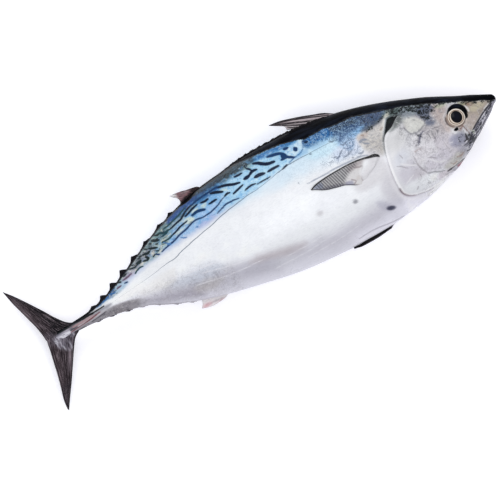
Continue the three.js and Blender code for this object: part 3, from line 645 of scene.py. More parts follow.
    # open slit at the top of the gill cover, painted near black as painted shade inside the opening, with painted soft
    # shade below it and behind the cover's edge
    outside = e_signed(st) > 0
    slit = region(st + 0.5 * wob, SLIT, 1.0) * outside
    zone([(87, 29.4), (100, 25.6), (105, 20.4), (99, 19.4), (89, 24)], 1.8, "59635f", 0.85, 0.6)
    lay(slit, "0e1a16", 0.97)
    d, u = distance(st, GILL_LINE, 8)
    lay(bump(d - 0.4, 0.9) * outside * sm(0.12, 0.2, u) * (1 - sm(0.26, 0.36, u)), "5f6262", 0.65)
    lay(bump(d - 0.4, 1.0) * outside * sm(0.3, 0.42, u) * (1 - sm(0.93, 1, u)), "b3aeb3", 0.55)
    lay(bump(d - 0.5, 1.1) * outside * sm(-31, -34, t) * sm(107, 111, s), "6c5664", 0.6)
    lay(bump(d - 3.4, 2.0) * outside * sm(0.3, 0.5, u), "e6e4e8", 0.6)
    lay(bump(d - 1.0, 1.0) * ~outside * sm(0.05, 0.14, u), "ecebec", 0.7)
    # around the eye: brown ring, a thin dark line and a pale ring along the lower side, and a black crescent over the
    # top and front, the painted shadow of the orbit's rim
    r = np.hypot((s - 42.1) / 8.9, (t - 2.2) / 8.3)
    r2 = np.hypot((s - 39.6) * 1.03, t - 3.9)
    painted_orbit_shadow = (1 - sm(9.6, 10.5, r2)) * sm(-1.2, 1.2, (t - 2.2) * 0.75 - (s - 41) * 0.62 - 0.4)
    lay(1 - sm(1.0, 1.16, r), "a58d7c", 0.85)
    lay(bump(r - 1.13, 0.08) * sm(2.4, -1.0, t - 2 - 0.9 * (s - 46)), "2c1f1b", 0.9)
    lay(painted_orbit_shadow, "120f10", 0.96)
    lay(bump(r - 1.2, 0.08) * sm(3, -3, t - 1 + (s - 40) * 0.2), "d2c3b6", 0.8)
    # small hole under the eye
    lay(bump(np.hypot(s - 49.4, t + 8.2), 2.2), "efedec", 0.7)
    # dark spots under the pectoral fin
    zone([(146, -33), (141, -34), (134, -42), (135, -46), (139, -46), (145, -40)], 2.4, "bdbcca", 0.65)
    lay(1 - sm(0.7, 1.35, np.hypot((s - 135.7) / 4.0, (t + 44 - 0.25 * (s - 135.7)) / 2.1)), "35364b", 0.9)
    lay(1 - sm(0.4, 1.5, np.hypot((s - 162.5) / 2.4, (t + 23) / 2.0)), "7f8088", 0.75)
    lay(1 - sm(0.3, 1.6, np.hypot((s - 197) / 3.2, (t + 17) / 2.4)), "bcb9bd", 0.6)
    # uneven tone of real skin
    col = col * (1 + 0.022 * big + 0.018 * mid)[:, None]

    # ---- how dark the pigment is: above 0.5 it is black, and the material's noise makes the limit ragged
    e = t - BACK_EDGE(s) + (1.1 * fine + 0.7 * mid) * (1 - sm(90, 112, s)) * sm(8, 18, s)
    below = np.interp(s, [0, 12, 30, 50, 60, 75, 92, 104, 125, 150, 185, 230, 262, 474], [1.6, 1.8, 2.2, 3.0, 5.5, 6.0, 4.0, 2.0, 1.6, 1.0, 0.9, 2.2, 3.0, 2.0])
    ink = np.where(e > 0, 0.5 + e / 2.2, 0.5 * np.exp(np.minimum(e, 0) / below))
    ink = np.where((s > 300) & (e <= 0), ink * 0.6, ink)
    ink = np.maximum(ink, (0.5 + (t - top + np.interp(s, [225, 268, 300, 330, 400, 430], [1.6, 2.6, 2.0, 1.9, 2.0, 2.4])) / 2.2) * sm(225, 240, s) * (t > c))
    ink = np.maximum(ink, 1.1 * (1 - sm(4.0, 8.0, np.abs(w) + 1.2 * mid)) * (t > c) * sm(120, 140, s) * (1 - sm(330, 350, s)))

    def pot(points, soft, level, grow=0.0):
        nonlocal ink
        ink = np.maximum(ink, level * region(st, points, soft, grow))

    pot([(56, 29), (70, 33), (74, 24), (71, 15.4), (68, 12), (63.6, 12), (61, 17), (53, 20)], 2.5, 0.52)
    pot([(64, 30), (70, 33), (88, 38), (98, 40), (99, 34), (92, 31), (84, 28.6), (74, 24), (66, 24)], 2.5, 0.55)
    pot([(84, 30.5), (90, 31), (90, 28.4), (84, 28)], 1.2, 0.5)
    pot([(9, 3.4), (15, 6.2), (20, 7.8), (25, 10.4), (21, 5.2), (14, 3.4)], 1.0, 0.56)
    pot([(28, 14), (38, 19), (50, 24.5), (62, 28.4), (61, 17), (53, 17.5), (45, 17.6), (36, 14)], 2.2, 0.5)
    pot([(41, -12), (49, -14), (51, -19), (44, -20)], 1.5, 0.36)
    pot([(22, -17.4), (34, -25.4), (47, -32), (46, -28.4), (34, -21.4), (24, -15)], 1.2, 0.47)
    pot([(8, 4), (16, 7.4), (27, 12), (34, 15), (31, 8.6), (22, 7), (16, 2.6), (10, 1.6)], 1.8, 0.52)
    pot([(0, 5), (8, 4.5), (9, 0.5), (5, -1.4), (-1, -1)], 1.4, 0.62)
    pot([(36.5, -15), (41.5, -16), (42, -24), (46, -31), (40, -27), (36.5, -21)], 1.6, 0.41)
    pot([(3, -2), (14, -6), (26, -13), (36, -20), (44, -26), (46, -31), (34, -26), (20, -17.4), (8, -9)], 1.6, 0.37)
    pot([(46, -14), (58, -13), (56, -22), (46, -23)], 3, 0.24)
    pot([(100, 43), (124, 47), (148, 50), (152, 46), (138, 42), (126, 37), (120, 32), (104, 34)], 2.4, 0.37)
    pot([(98, 38), (106, 36), (112, 33.6), (125, 32.4), (124, 29.8), (118, 28.4), (112, 31), (102, 33.4)], 1.2, 0.5)
    pot([(112, 46), (134, 49.6), (134, 45), (122, 43), (110, 42)], 2, 0.34)
    pot([(322, 49.4), (310, 53), (300, 57), (290, 60), (284, 60), (290, 55.6), (300, 51.6), (310, 50.6)], 0.9, 1.3)
    pot([(228, 60), (262, 61.6), (290, 57.6), (296, 52), (284, 51), (262, 52), (244, 51.6), (230, 54)], 2.6, 0.44)
    pot([(400, -5), (420, -3.4), (444, -5), (440, -8.6), (420, -10), (398, -13)], 1.5, 0.3)
    pot([(330, 46), (350, 39), (372, 28.6), (395, 18), (412, 11), (396, 14), (372, 21), (350, 27), (334, 34)], 2.2, 0.36)
    under_jaw = (1 - sm(2.0, 6.5, np.abs(w))) * sm(0.5, -1.5, t - np.interp(s, MOUTH[:, 0], MOUTH[:, 1])) * (1 - sm(56, 66, s))
    ink = ink * (1 - 0.75 * under_jaw * sm(5, 9, s))
    # the open slit also gets dark pigment: painted shade inside the opening
    ink = np.maximum(ink * (1 - slit), 0.72 * slit)
    # the painted shadow of the orbit's rim is black pigment too
    ink = np.maximum(ink, 0.95 * painted_orbit_shadow)
    ink = np.maximum(ink, 1.1 * (1 - sm(0.9, 1.35, np.hypot((s - 47.0) / 2.1, (t + 7.8) / 1.35))))
    for a, b2, r3, k in ((80.6, 2.8, 3.2, 0.47), (84, -1, 4, 0.3), (12, -7, 2, 0.36), (66, 16, 3.5, 0.44), (128, 48, 4, 0.3)):
        ink = np.maximum(ink, k * bump(np.hypot(s - a, t - b2), r3))

    # ---- masks for fine veins, scribbles and flecks
    vein = h * (1 - sm(0.2, 0.5, ink)) * (0.55 + 0.45 * region(st, [(58, 30), (92, 34), (96, 20), (90, 0), (74, -8), (60, -6), (54, 10)], 5)) * (1 - region(st, [(99, 20), (112, 14), (118, -10), (118, -32), (104, -28), (98, -4)], 4) * 0.6)
    scrib = np.maximum(cors, region(st, [(134, 34), (150, 40), (172, 38), (176, 24), (168, 15), (150, 14), (136, 13), (131, 20)], 5) * (0.25 + 0.5 * bump(t - 21, 5)))
    scrib = np.maximum(scrib, region(st, [(160, 36), (212, 36), (212, 22), (190, 16), (165, 16)], 5) * 0.16)
    scrib = np.maximum(scrib, 0.35 * region(st, [(100, 33), (130, 31), (133, 18), (122, 6), (115, 10)], 3))
    keep = 1 - sm(0.4, 0.75, ink)
    field = sm(-2, 3, t - np.where(s < 262, lat, BLUE_T(s) + 1)) * sm(180, 186, s) * (1 - sm(345, 390, s))
    field = field * (1 - 0.7 * sm(-9.5, -5, t - top + 1.2 * mid) * sm(238, 252, s)) * (1 - 0.45 * sm(-7, -3, t - top + mid) * sm(186, 192, s))
    mott = np.maximum(m, region(st, [(296, 48), (330, 42), (345, 38), (345, 24), (320, 29), (300, 34)], 4) * 0.6)
    sd, pigment = draw(q + 0.35 * np.stack([fine, mid], -1) * sm(262, 290, s)[:, None], STROKES, 1.04)
    force = np.ones(n)
    for lines, warp, strong in ((JAW_LINES, 0.25, 0.92), (HEAD_DARK, 0.35, 0.85), (HEAD_LINES, 0.6, 0.45), (BODY_LINES, 0.3, 0.6), (STEM_LINES, 0.2, 1.0)):
        d2, c2 = draw(st + warp * wob, lines)
        if lines is JAW_LINES:
            d2 = d2 + 3 * (1 - sm(2.5, 6.5, np.abs(w))) * (t < widest(s))
        if lines is HEAD_DARK:
            d2 = d2 + 4 * (1 - sm(2.2, 6.0, np.abs(w) + 0.8 * mid)) * (t < widest(s)) * (1 - sm(46, 49, s))
        m2 = d2 < sd
        sd = np.where(m2, d2, sd)
        pigment = np.where(m2[:, None], c2, pigment)
        force = np.where(m2, strong, force)
    lq = st + wob * 0.25
    d, _ = distance(lq, LATERAL, 6)
    d = d * np.sign(lq[:, 1] - LAT_T(np.clip(lq[:, 0], 128, 440)))
    vein = vein * (1 - 0.7 * region(st, [(88, 24), (80, 24), (73, 17.4), (71, 11), (77, 8.6), (86, 9.4), (88.5, 14)], 1.5))
    vein = np.maximum(vein, 0.6 * region(st, [(106, 32), (118, 29.5), (132, 29), (131, 14), (121, 4), (115, 12)], 3) * keep)
    vein = np.maximum(vein, (0.42 + 0.3 * sm(375, 395, s)) * region(st, [(292, -20), (318, -6), (350, -4), (390, -3), (424, -3), (420, -9), (380, -16), (350, -30), (320, -39), (292, -44)], 5) * keep)
    vein = vein * (1 - slit)
    masks = {
        "stroke": sd, "force": force, "pigment": to_linear(pigment) * GAIN,
        "line": d / np.interp(s, [146, 156, 176, 200, 209, 222, 246, 262, 335, 352, 380], [0.04, 0.14, 0.24, 0.5, 0.5, 0.16, 0.3, 0.4, 0.4, 0.2, 0.05]),
        "cors": cors * keep * (0.35 + 0.65 * sm(112, 134, s)), "scrib": scrib * keep, "field": field * keep, "ink": ink, "vein": vein, "mott": np.maximum(mott, 0.8 * region(st, [(388, 18), (410, 11.6), (425, 6), (424, 3.4), (408, 5), (392, 9)], 1.5)) * keep,
        "flank": (1 - field) * (1 - h) * (1 - sm(-6, 2, t - lat)) * keep,
    }
    # painted light: brightens the lower head and cheek, the lower edge behind the gill cover, the belly edge and the
    # lower and rear flank, where the body turns away from the lamps
    light = 1 + 0.2 * (1 - sm(118, 126, s)) * sm(10, -4, t) * sm(46, 56, s) + 0.12 * sm(104, 116, s) * (1 - sm(130, 150, s)) * sm(-40, -48, t)
    light = light + 0.13 * (1 - sm(86, 96, s)) * sm(0, -10, t) * sm(46, 56, s) + 0.12 * sm(76, 84, s) * (1 - sm(96, 106, s)) * sm(-24, -34, t)
    light = light + 0.09 * sm(116, 121, s) * (1 - sm(130, 137, s)) * bump(t + 48, 6)
    light = light + 0.16 * sm(132, 142, s) * (1 - sm(172, 186, s)) * sm(-44, -54, t) + 0.1 * sm(196, 230, s) * sm(16, 6, t - low) + 0.03 * sm(255, 290, s) * sm(6, -6, t) + 0.12 * sm(344, 362, s) * (1 - sm(396, 412, s)) * bump(t + 3, 9)
    return np.minimum(to_linear(np.clip(col, 0, 1)) * light[:, None], 1) * GAIN, masks


def e_signed(st):
    """Distance past the gill cover's rear edge: + behind it, - on the cover."""
    loop = np.vstack([GILL_LINE, [(20, -60), (-20, 0), (40, 45)]])
    d, _ = distance(st, GILL_LINE, 14)
    return np.where(inside(st, loop), -d, d)


# ------------------------------------------------------------------ mesh helpers
def make(name, verts, faces, mat, attrs=None, colour=None):
    me = bpy.data.meshes.new(name)
    me.from_pydata(verts.tolist(), [], faces)
    me.update()
    if colour is not None:
        a = me.attributes.new("tone", "FLOAT_COLOR", "POINT")
        a.data.foreach_set("color", np.concatenate([colour, np.ones((len(colour), 1))], 1).astype(np.float32).ravel())
    for key, value in (attrs or {}).items():
        if value.ndim == 2:
            a = me.attributes.new(key, "FLOAT_COLOR", "POINT")
            a.data.foreach_set("color", np.concatenate([value, np.ones((len(value), 1))], 1).astype(np.float32).ravel())
        else:
            a = me.attributes.new(key, "FLOAT", "POINT")
            a.data.foreach_set("value", value.astype(np.float32).ravel())
    me.polygons.foreach_set("use_smooth", [True] * len(me.polygons))
    me.materials.append(mat)
    ob = bpy.data.objects.new(name, me)
    bpy.context.scene.collection.objects.link(ob)
    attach(ob, "root")
    return ob


def two_skins(ob, black):
    """Gives the faces of the black back their own, less shiny material."""
    ob.data.materials.append(BACK_SKIN)
    n = len(ob.data.polygons)
    first = np.zeros(n, np.int32)
    ob.data.polygons.foreach_get("loop_start", first)
    corner = np.zeros(len(ob.data.loops), np.int32)
    ob.data.loops.foreach_get("vertex_index", corner)
    ob.data.polygons.foreach_set("material_index", (black[corner[first]] > 0.9).astype(np.int32))


def grid_faces(nu, nv, start=0, flip=False):
    i = np.arange(nu)[:, None] * (nv + 1) + np.arange(nv)[None, :] + start
    f = np.stack([i, i + nv + 1, i + nv + 2, i + 1], -1).reshape(-1, 4)
    return f[:, ::-1] if flip else f


def slab(top, bottom):
    """Closed thin piece between two grids of the same shape: vertices and faces."""
    nu, nv = top.shape[0] - 1, top.shape[1] - 1
    n = (nu + 1) * (nv + 1)
    f = [grid_faces(nu, nv), grid_faces(nu, nv, n, True)]
    idx = np.arange(n).reshape(nu + 1, nv + 1)
    rim = np.concatenate([idx[:, 0], idx[-1, 1:], idx[:-1, -1][::-1], idx[0, 1:-1][::-1]])
    nxt = np.roll(rim, -1)
    f.append(np.stack([rim, rim + n, nxt + n, nxt], -1))
    return np.concatenate([top.reshape(-1, 3), bottom.reshape(-1, 3)]), np.concatenate(f)


def both(a):
    return np.concatenate([a.ravel(), a.ravel()])


def outward(verts, faces):
    """Faces turned so that the closed piece's volume is positive."""
    f = np.asarray(faces)
    a, b, c, d = (verts[f[:, k]] for k in range(4))
    vol = (np.einsum("ij,ij->i", a, np.cross(b, c)) + np.einsum("ij,ij->i", a, np.cross(c, d))).sum()
    return (f if vol > 0 else f[:, ::-1]).tolist()


# ------------------------------------------------------------------ material helpers
class Nodes:
    def __init__(self, name):
        self.mat = bpy.data.materials.new(name)
        self.mat.use_nodes = True
        self.tree = self.mat.node_tree
        self.tree.nodes.clear()
        self.out = self.new("ShaderNodeOutputMaterial")
        self.bsdf = self.new("ShaderNodeBsdfPrincipled")
        self.tree.links.new(self.bsdf.outputs[0], self.out.inputs[0])

    def new(self, kind, **props):
        n = self.tree.nodes.new(kind)
        for k, v in props.items():
            setattr(n, k, v)
        return n

    def put(self, socket, value):
        if isinstance(value, bpy.types.NodeSocket):
            self.tree.links.new(value, socket)
        else:
            socket.default_value = value

    def attr(self, name, colour=False):
        n = self.new("ShaderNodeAttribute", attribute_name=name)
        return n.outputs["Color"] if colour else n.outputs["Fac"]

    def math(self, op, a, b=None, c=None, clamp=False):
        n = self.new("ShaderNodeMath", operation=op, use_clamp=clamp)
        for i, v in enumerate((a, b, c)):
            if v is not None:
                self.put(n.inputs[i], v)
        return n.outputs[0]

    def mix(self, fac, a, b, mode="MIX"):
        n = self.new("ShaderNodeMix", data_type="RGBA", blend_type=mode)
        self.put(n.inputs[0], fac)
        self.put(n.inputs[6], a)
        self.put(n.inputs[7], b)
        return n.outputs[2]

    def step(self, value, lo, hi, out_lo=0.0, out_hi=1.0):
        n = self.new("ShaderNodeMapRange", interpolation_type="SMOOTHSTEP")
        for i, v in enumerate((value, lo, hi, out_lo, out_hi)):
            self.put(n.inputs[i], v)
        return n.outputs[0]

    def coords(self, scale=(1, 1, 1)):
        n = self.new("ShaderNodeTexCoord")
        m = self.new("ShaderNodeMapping")
        self.put(m.inputs["Vector"], n.outputs["Object"])
        m.inputs["Scale"].default_value = scale
        return m.outputs[0]

    def noise(self, vec, scale, detail=2.0, rough=0.55, distortion=0.0):
        n = self.new("ShaderNodeTexNoise")
        self.put(n.inputs["Vector"], vec)
        n.inputs["Scale"].default_value = scale
        n.inputs["Detail"].default_value = detail
        n.inputs["Roughness"].default_value = rough
        n.inputs["Distortion"].default_value = distortion
        return n.outputs["Fac"]

    def cells(self, vec, scale, feature="F1", out="Distance"):
        n = self.new("ShaderNodeTexVoronoi", feature=feature)
        self.put(n.inputs["Vector"], vec)
        n.inputs["Scale"].default_value = scale
        return n.outputs[out]

    def bump(self, height, strength, distance):
        n = self.new("ShaderNodeBump")
        n.inputs["Strength"].default_value = strength
        n.inputs["Distance"].default_value = distance
        self.put(n.inputs["Height"], height)
        return n.outputs[0]

    def set(self, **kw):
        for k, v in kw.items():
            self.put(self.bsdf.inputs[k.replace("_", " ")], v)


def skin_material(name, shine, coat, metal):
    n = Nodes(name)
    co = n.coords()
    tone = n.attr("tone", True)
    ragged = n.noise(co, 800, 2, 0.6)
    blotch = n.noise(co, 270, 4, 0.68, 0.6)
    along = n.coords((0.28, 1, 1))

    def worms(vec, scale, wide, detail=2.0, twist=1.2):
        """Thin wandering lines: where a noise crosses its middle."""
        f = n.noise(vec, scale, detail, 0.55, twist)
        return n.step(n.math("ABSOLUTE", n.math("SUBTRACT", f, 0.5)), wide, wide * 0.25)

    def over(col, mask, amount, colour):
        k = n.math("MULTIPLY", mask, amount)
        return n.mix(k, col, colour)

    # fine silvery streaks along the body and soft pearly clouds
    streak = n.noise(along, 900, 3, 0.6, 0.2)
    col = n.mix(n.step(streak, 0.38, 0.75, 0.0, 0.12), tone, n.mix(1.0, tone, lin("9a9db0"), "MULTIPLY"))
    cloud = n.noise(n.coords((0.6, 1, 1)), 55, 4, 0.6)
    col = n.mix(n.math("MULTIPLY", n.attr("flank"), n.step(cloud, 0.4, 0.7, 0.0, 0.22)), col, lin("e3e4ee"))
    # veined, blotchy skin of the head
    vein = n.attr("vein")
    col = over(col, n.math("MULTIPLY", vein, n.step(n.noise(co, 95, 4, 0.65), 0.48, 0.68)), 0.35, lin("aca3a3"))
    col = over(col, n.math("MULTIPLY", vein, n.step(n.noise(co, 300, 4, 0.7, 0.5), 0.53, 0.68)), 0.6, lin("f0f0f0"))
    col = over(col, n.math("MULTIPLY", vein, n.step(blotch, 0.52, 0.66)), 0.55, lin("77757f"))
    col = over(col, n.math("MULTIPLY", vein, worms(co, 120, 0.026, 4)), 0.55, lin("66636c"))
    col = over(col, n.math("MULTIPLY", vein, worms(co, 260, 0.04)), 0.35, lin("7f7a80"))
    # shoulder and upper flank: short curled marks, light and dark
    cors, scrib = n.attr("cors"), n.attr("scrib")
    col = over(col, n.math("MULTIPLY", cors, worms(co, 270, 0.07, 2, 1.6)), 0.65, lin("a9cdea"))
    col = over(col, n.math("MULTIPLY", scrib, worms(co, 230, 0.06, 3, 1.4)), 0.7, lin("21426c"))
    col = over(col, n.math("MULTIPLY", cors, n.step(n.noise(co, 150, 3, 0.6), 0.5, 0.66)), 0.4, lin("34537e"))
    col = over(col, n.math("MULTIPLY", cors, n.step(n.noise(co, 520, 2, 0.6), 0.62, 0.75)), 0.5, lin("c3d9ea"))
    # shimmer inside the blue field
    field = n.attr("field")
    col = over(col, n.math("MULTIPLY", field, n.step(n.noise(co, 200, 3, 0.6), 0.46, 0.64)), 0.5, lin("74b4e6"))
    col = over(col, n.math("MULTIPLY", field, n.step(blotch, 0.52, 0.64)), 0.4, lin("4f97d0"))
    col = over(col, n.math("MULTIPLY", field, n.step(n.noise(along, 560, 3, 0.6, 0.4), 0.55, 0.74)), 0.5, lin("e4f3f8"))
    col = over(col, n.math("MULTIPLY", field, worms(co, 240, 0.02, 3)), 0.25, lin("5f90bd"))
    col = over(col, n.math("MULTIPLY", field, n.step(n.noise(co, 640, 2, 0.7), 0.58, 0.7)), 0.5, lin("3a74b2"))
    col = over(col, n.math("MULTIPLY", field, n.step(n.noise(co, 470, 3, 0.7, 0.4), 0.6, 0.72)), 0.55, lin("eefafd"))
    # cream and green-black flecks of the rear back
    mott = n.attr("mott")
    col = over(col, n.math("MULTIPLY", mott, n.step(n.noise(along, 420, 3, 0.65, 0.8), 0.54, 0.66)), 0.8, lin("e9e9da"))
    col = over(col, n.math("MULTIPLY", mott, n.step(n.noise(along, 360, 3, 0.65, 0.8), 0.55, 0.66)), 0.7, lin("4a5a62"))
    # lateral line, then the strokes
    edge = n.math("MULTIPLY", n.math("SUBTRACT", ragged, 0.5), 0.9)
    col = n.mix(n.step(n.math("ADD", n.math("ABSOLUTE", n.math("ADD", n.attr("line"), n.math("MULTIPLY", n.math("SUBTRACT", n.noise(co, 160, 3), 0.5), 3.0))), edge), 1.5, 0.6, 0.0, 0.8), col, lin("5c6c7e"))
    pigment = n.attr("pigment", True)
    d = n.math("ADD", n.attr("stroke"), n.math("MULTIPLY", edge, n.math("ADD", 0.9, n.math("MULTIPLY", vein, 1.1))))
    force = n.attr("force")
    col = n.mix(n.math("MULTIPLY", force, n.step(d, 0.9, -0.2, 0.0, 0.35)), col, pigment)
    col = n.mix(n.math("MULTIPLY", force, n.step(d, 0.3, -0.3)), col, pigment)
    col = over(col, n.math("MULTIPLY", mott, n.step(n.noise(along, 300, 3, 0.65, 0.8), 0.56, 0.66)), 0.7, lin("27393b"))
    # black pigment with a ragged limit
    pot = n.math("ADD", n.attr("ink"), n.math("MULTIPLY", n.math("SUBTRACT", blotch, 0.5), 1.15))
    pot = n.math("ADD", pot, n.math("MULTIPLY", n.math("SUBTRACT", ragged, 0.5), 0.75))
    hue = n.mix(n.step(n.noise(co, 160, 3, 0.6), 0.42, 0.66), lin("0a0d10"), lin("17231f"))
    hue = n.mix(n.step(n.attr("ink"), 0.5, 1.0), hue, n.mix(n.step(n.noise(along, 110, 4, 0.65), 0.42, 0.8), lin("08090d"), lin("1e2533")))
    col = n.mix(n.step(pot, 0.34, 0.56, 0.0, 0.6), col, lin("39424b"))
    col = n.mix(n.step(pot, 0.46, 0.6), col, hue)
    rough = n.step(n.noise(co, 180, 3), 0.3, 0.7, 0.26, 0.42)
    scale = n.cells(co, 480, "SMOOTH_F1")
    height = n.math("ADD", n.math("MULTIPLY", scale, n.math("ADD", n.math("MULTIPLY", cors, 0.9), 0.25)), n.math("MULTIPLY", ragged, 0.35))
    height = n.math("ADD", height, n.math("MULTIPLY", n.math("MULTIPLY", vein, blotch), 0.8))
    n.set(Base_Color=col, Roughness=rough, Metallic=metal, Normal=n.bump(height, 0.35, 0.0004))
    n.bsdf.inputs["Specular IOR Level"].default_value = shine
    n.bsdf.inputs["Coat Weight"].default_value = coat
    n.bsdf.inputs["Coat Roughness"].default_value = 0.12
    return n.mat


def fin_material(name, spine, light, dark, wide=(0.2, 0.36), spines=0.75, streaks=0.4, deep=0.4, see=0.0, rough=(0.3, 0.5), shine=0.1, add=False):
    """Fin: "ray" counts the rays, "out" runs from root to margin, "marks" is where the rays show, "clear" is how clear the web is."""
    n = Nodes(name)
    co = n.coords()
    ray, out = n.attr("ray"), n.attr("out")
    xyz = n.new("ShaderNodeCombineXYZ")
    n.put(xyz.inputs[0], n.math("MULTIPLY", ray, 3.0 if add else 2.1))
    n.put(xyz.inputs[1], n.math("MULTIPLY", out, 4.2 if add else 5.0))
    fibre = n.noise(xyz.outputs[0], 1.0, 4, 0.65)
    tri = n.math("ABSOLUTE", n.math("SUBTRACT", n.math("FRACT", ray), 0.5))
    line = n.step(n.math("ADD", tri, n.math("MULTIPLY", n.math("SUBTRACT", n.noise(co, 700, 2), 0.5), 0.2)), *wide)
    line = n.math("MULTIPLY", line, n.attr("marks"))
    col = n.mix(n.math("MULTIPLY", line, spines), n.attr("tone", True), lin(spine))
    col = n.mix(n.step(fibre, 0.52, 0.66, 0.0, streaks), col, n.mix(1.0, col, lin(light), "ADD") if add else lin(light))
    col = n.mix(n.step(fibre, 0.47, 0.34, 0.0, deep), col, lin(dark))
    grain = n.noise(co, 1500, 3, 0.6)
    height = n.math("ADD", line, n.math("ADD", n.math("MULTIPLY", fibre, 0.8), n.math("MULTIPLY", grain, 0.3)))
    n.set(Base_Color=col, Roughness=n.step(grain, 0.2, 0.8, *rough), Normal=n.bump(height, 0.4, 0.0003))
    n.bsdf.inputs["Specular IOR Level"].default_value = shine
    if see:
        n.put(n.bsdf.inputs["Alpha"], n.math("SUBTRACT", 1.0, n.math("MULTIPLY", n.attr("clear"), n.math("SUBTRACT", see, n.math("MULTIPLY", line, 0.6 * see)))))
    return n.mat


SKIN = skin_material("wet_skin", 0.16, 0.05, 0.05)
BACK_SKIN = skin_material("black_back_skin", 0.008, 0.0, 0.0)


# ------------------------------------------------------------------ body
def build_body():
    steps = hermite([0, 6, 20, 110, 130, 200, 400, 430, BODY_END], [0.3, 0.7, 0.95, 0.95, 1.15, 1.3, 1.2, 1.0, 0.9])
    s = [0.0, 0.04, 0.16, 0.36]
    while s[-1] < BODY_END - 0.8:
        s.append(s[-1] + float(steps(s[-1])))
    s = np.array(s)
    s = s[:-1] * (BODY_END - 0.5) / s[-2]
    s = np.concatenate([s, [BODY_END - 0.2, BODY_END - 0.05]])
    s[0] = 0.004
    # rings: the flank that shows has more of them
    fine = np.linspace(-PI / 2, PI / 2, 2001)
    dens = 1 + 0.45 * np.exp(-(((fine - 0.65) / 0.55) ** 2))
    cum = np.concatenate([[0], np.cumsum((dens[1:] + dens[:-1]) / 2)])
    right = np.interp(np.linspace(0, cum[-1], 137), cum, fine)[:-1]
    left = np.linspace(PI / 2, 3 * PI / 2, 83)[:-1]
    ring = np.concatenate([right, left])
    nr = len(ring)
    S, R = np.meshgrid(s, ring, indexing="ij")
    P, _ = skin_point(S, R)
    flat = body_point(S, R)
    verts = place(P).reshape(-1, 3)
    n0 = len(verts)
    ends = place(np.array([[0.0, 1.5, 0.0], [BODY_END, -2.6, 0.0]]))
    verts = np.vstack([verts, ends])
    i = np.arange(len(s) - 1)[:, None] * nr
    j = np.arange(nr)[None, :]
    k = (j + 1) % nr
    quads = np.stack([i + j, i + nr + j, i + nr + k, i + k], -1).reshape(-1, 4)
    faces = quads.tolist()
    last = (len(s) - 1) * nr
    for a in range(nr):
        b = (a + 1) % nr
        faces.append([n0, a, b])
        faces.append([n0 + 1, last + b, last + a])
    q = np.vstack([flat.reshape(-1, 3), [[0, 1.5, 0], [BODY_END, -2.6, 0]]])
    col, masks = paint(q[:, 0], q[:, 1], q[:, 2], q)
    ob = make("body", verts, faces, SKIN, masks, col)
    two_skins(ob, masks["ink"])
    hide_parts("fish")
    return ob


# ------------------------------------------------------------------ gill covers
def build_gill(side, name):
    edge = even(GILL_EDGE, 230)
    ring = ring_of(edge[:, 0], edge[:, 1])
    # under the throat the edge runs on to the middle
    k = 40
    tail_s = np.linspace(edge[-1, 0], 56, k + 1)[1:]
    tail_r = ring[-1] + (-PI / 2 + 0.03 - ring[-1]) * np.linspace(0, 1, k + 1)[1:] ** 0.8
    es = np.concatenate([edge[:, 0], tail_s])
    er = np.concatenate([ring, tail_r])
    n = len(es)
    cs, cr = 78.0, ring_of(np.array(78.0), np.array(-8.0))
    v = np.linspace(0, 1, n)
    inner = 0.50 + 0.16 * sm(0.75, 1.0, v) * 2
    rows = 46
    u = 1 - (1 - np.linspace(0, 1, rows)) ** 1.5
    S = cs + (es - cs)[None, :] * (inner[None, :] + (1 - inner[None, :]) * u[:, None])
    R = cr + (er - cr)[None, :] * (inner[None, :] + (1 - inner[None, :]) * u[:, None])
    ends = sm(0, 0.05, v) * (1 - sm(0.9, 1.0, v))
    lip = 1.25 * ends * (1 - 0.6 * sm(0.16, 0.34, v))
    off = -1.4 + (lip[None, :] + 1.4) * sm(0, 0.62, u)[:, None]
    top, nrm = skin_point(S, R, off)
    # the relief's dip behind the edge is left out on the cover itself
    e = np.abs(e_signed(np.stack([S.ravel(), body_point(S, R)[..., 1].ravel()], -1))).reshape(S.shape)
    top = top + nrm * (1.0 * bump(e - 0.5, 3.2) * sm(60, 84, S))[..., None]
    # thin edge that turns under
    under = []
    for du, down in ((0.004, 0.18), (0.005, 0.5), (-0.002, 0.95), (-0.02, 1.25), (-0.07, 1.7), (-0.13, 2.2)):
        under.append((du, down))
    S2 = np.stack([cs + (es - cs) * (1 + a) for a, _ in under])
    R2 = np.stack([cr + (er - cr) * (1 + a) for a, _ in under])
    base2, n2 = skin_point(S2, R2, 0)
    e2 = np.abs(e_signed(np.stack([S2.ravel(), body_point(S2, R2)[..., 1].ravel()], -1))).reshape(S2.shape)
    lift = 1.0 * bump(e2 - 0.5, 3.2) * sm(60, 84, S2)
    drop = np.array([b for _, b in under])[:, None]
    low = base2 + n2 * (lift + lip[None, :] - drop)[..., None]
    P = np.concatenate([top, low])
    bp = np.concatenate([body_point(S, R), body_point(S2, R2)])
    deep = body_normal(np.concatenate([S, S2]), np.concatenate([R, R2]))
    B = bp + deep * (np.concatenate([0 * S, lift]) - 2.8)[..., None]
    if side < 0:
        P, B, bp = (a * np.array([1, 1, -1]) for a in (P, B, bp))
    q = bp.reshape(-1, 3)
    col, masks = paint(q[:, 0], q[:, 1], q[:, 2], q)
    m = P.shape[0]
    # the rim itself is pale, its underside painted dark as painted shade under the lip
    rr = np.repeat(np.arange(m), n)
    vv = np.tile(v, m)
    rim = ((rr >= rows - 3) & (rr <= rows + 1)).astype(float) * sm(0.16, 0.26, vv) * (1 - sm(0.62, 0.7, vv))
    col = col * (1 - 0.6 * rim[:, None]) + to_linear(hexa("eeeff1")) * GAIN * 0.6 * rim[:, None]
    dark = (rr > rows + 2).astype(float)
    col = col * (1 - 0.9 * dark[:, None]) + to_linear(hexa("2a2526")) * 0.9 * dark[:, None]
    masks["ink"] = masks["ink"] * (1 - rim)
    verts, faces = slab(P, B)
    verts = place(verts)
    masks = {k: np.concatenate([a, a]) for k, a in masks.items()}
    return make(name, verts, outward(verts, faces), SKIN, masks, np.concatenate([col, col]))


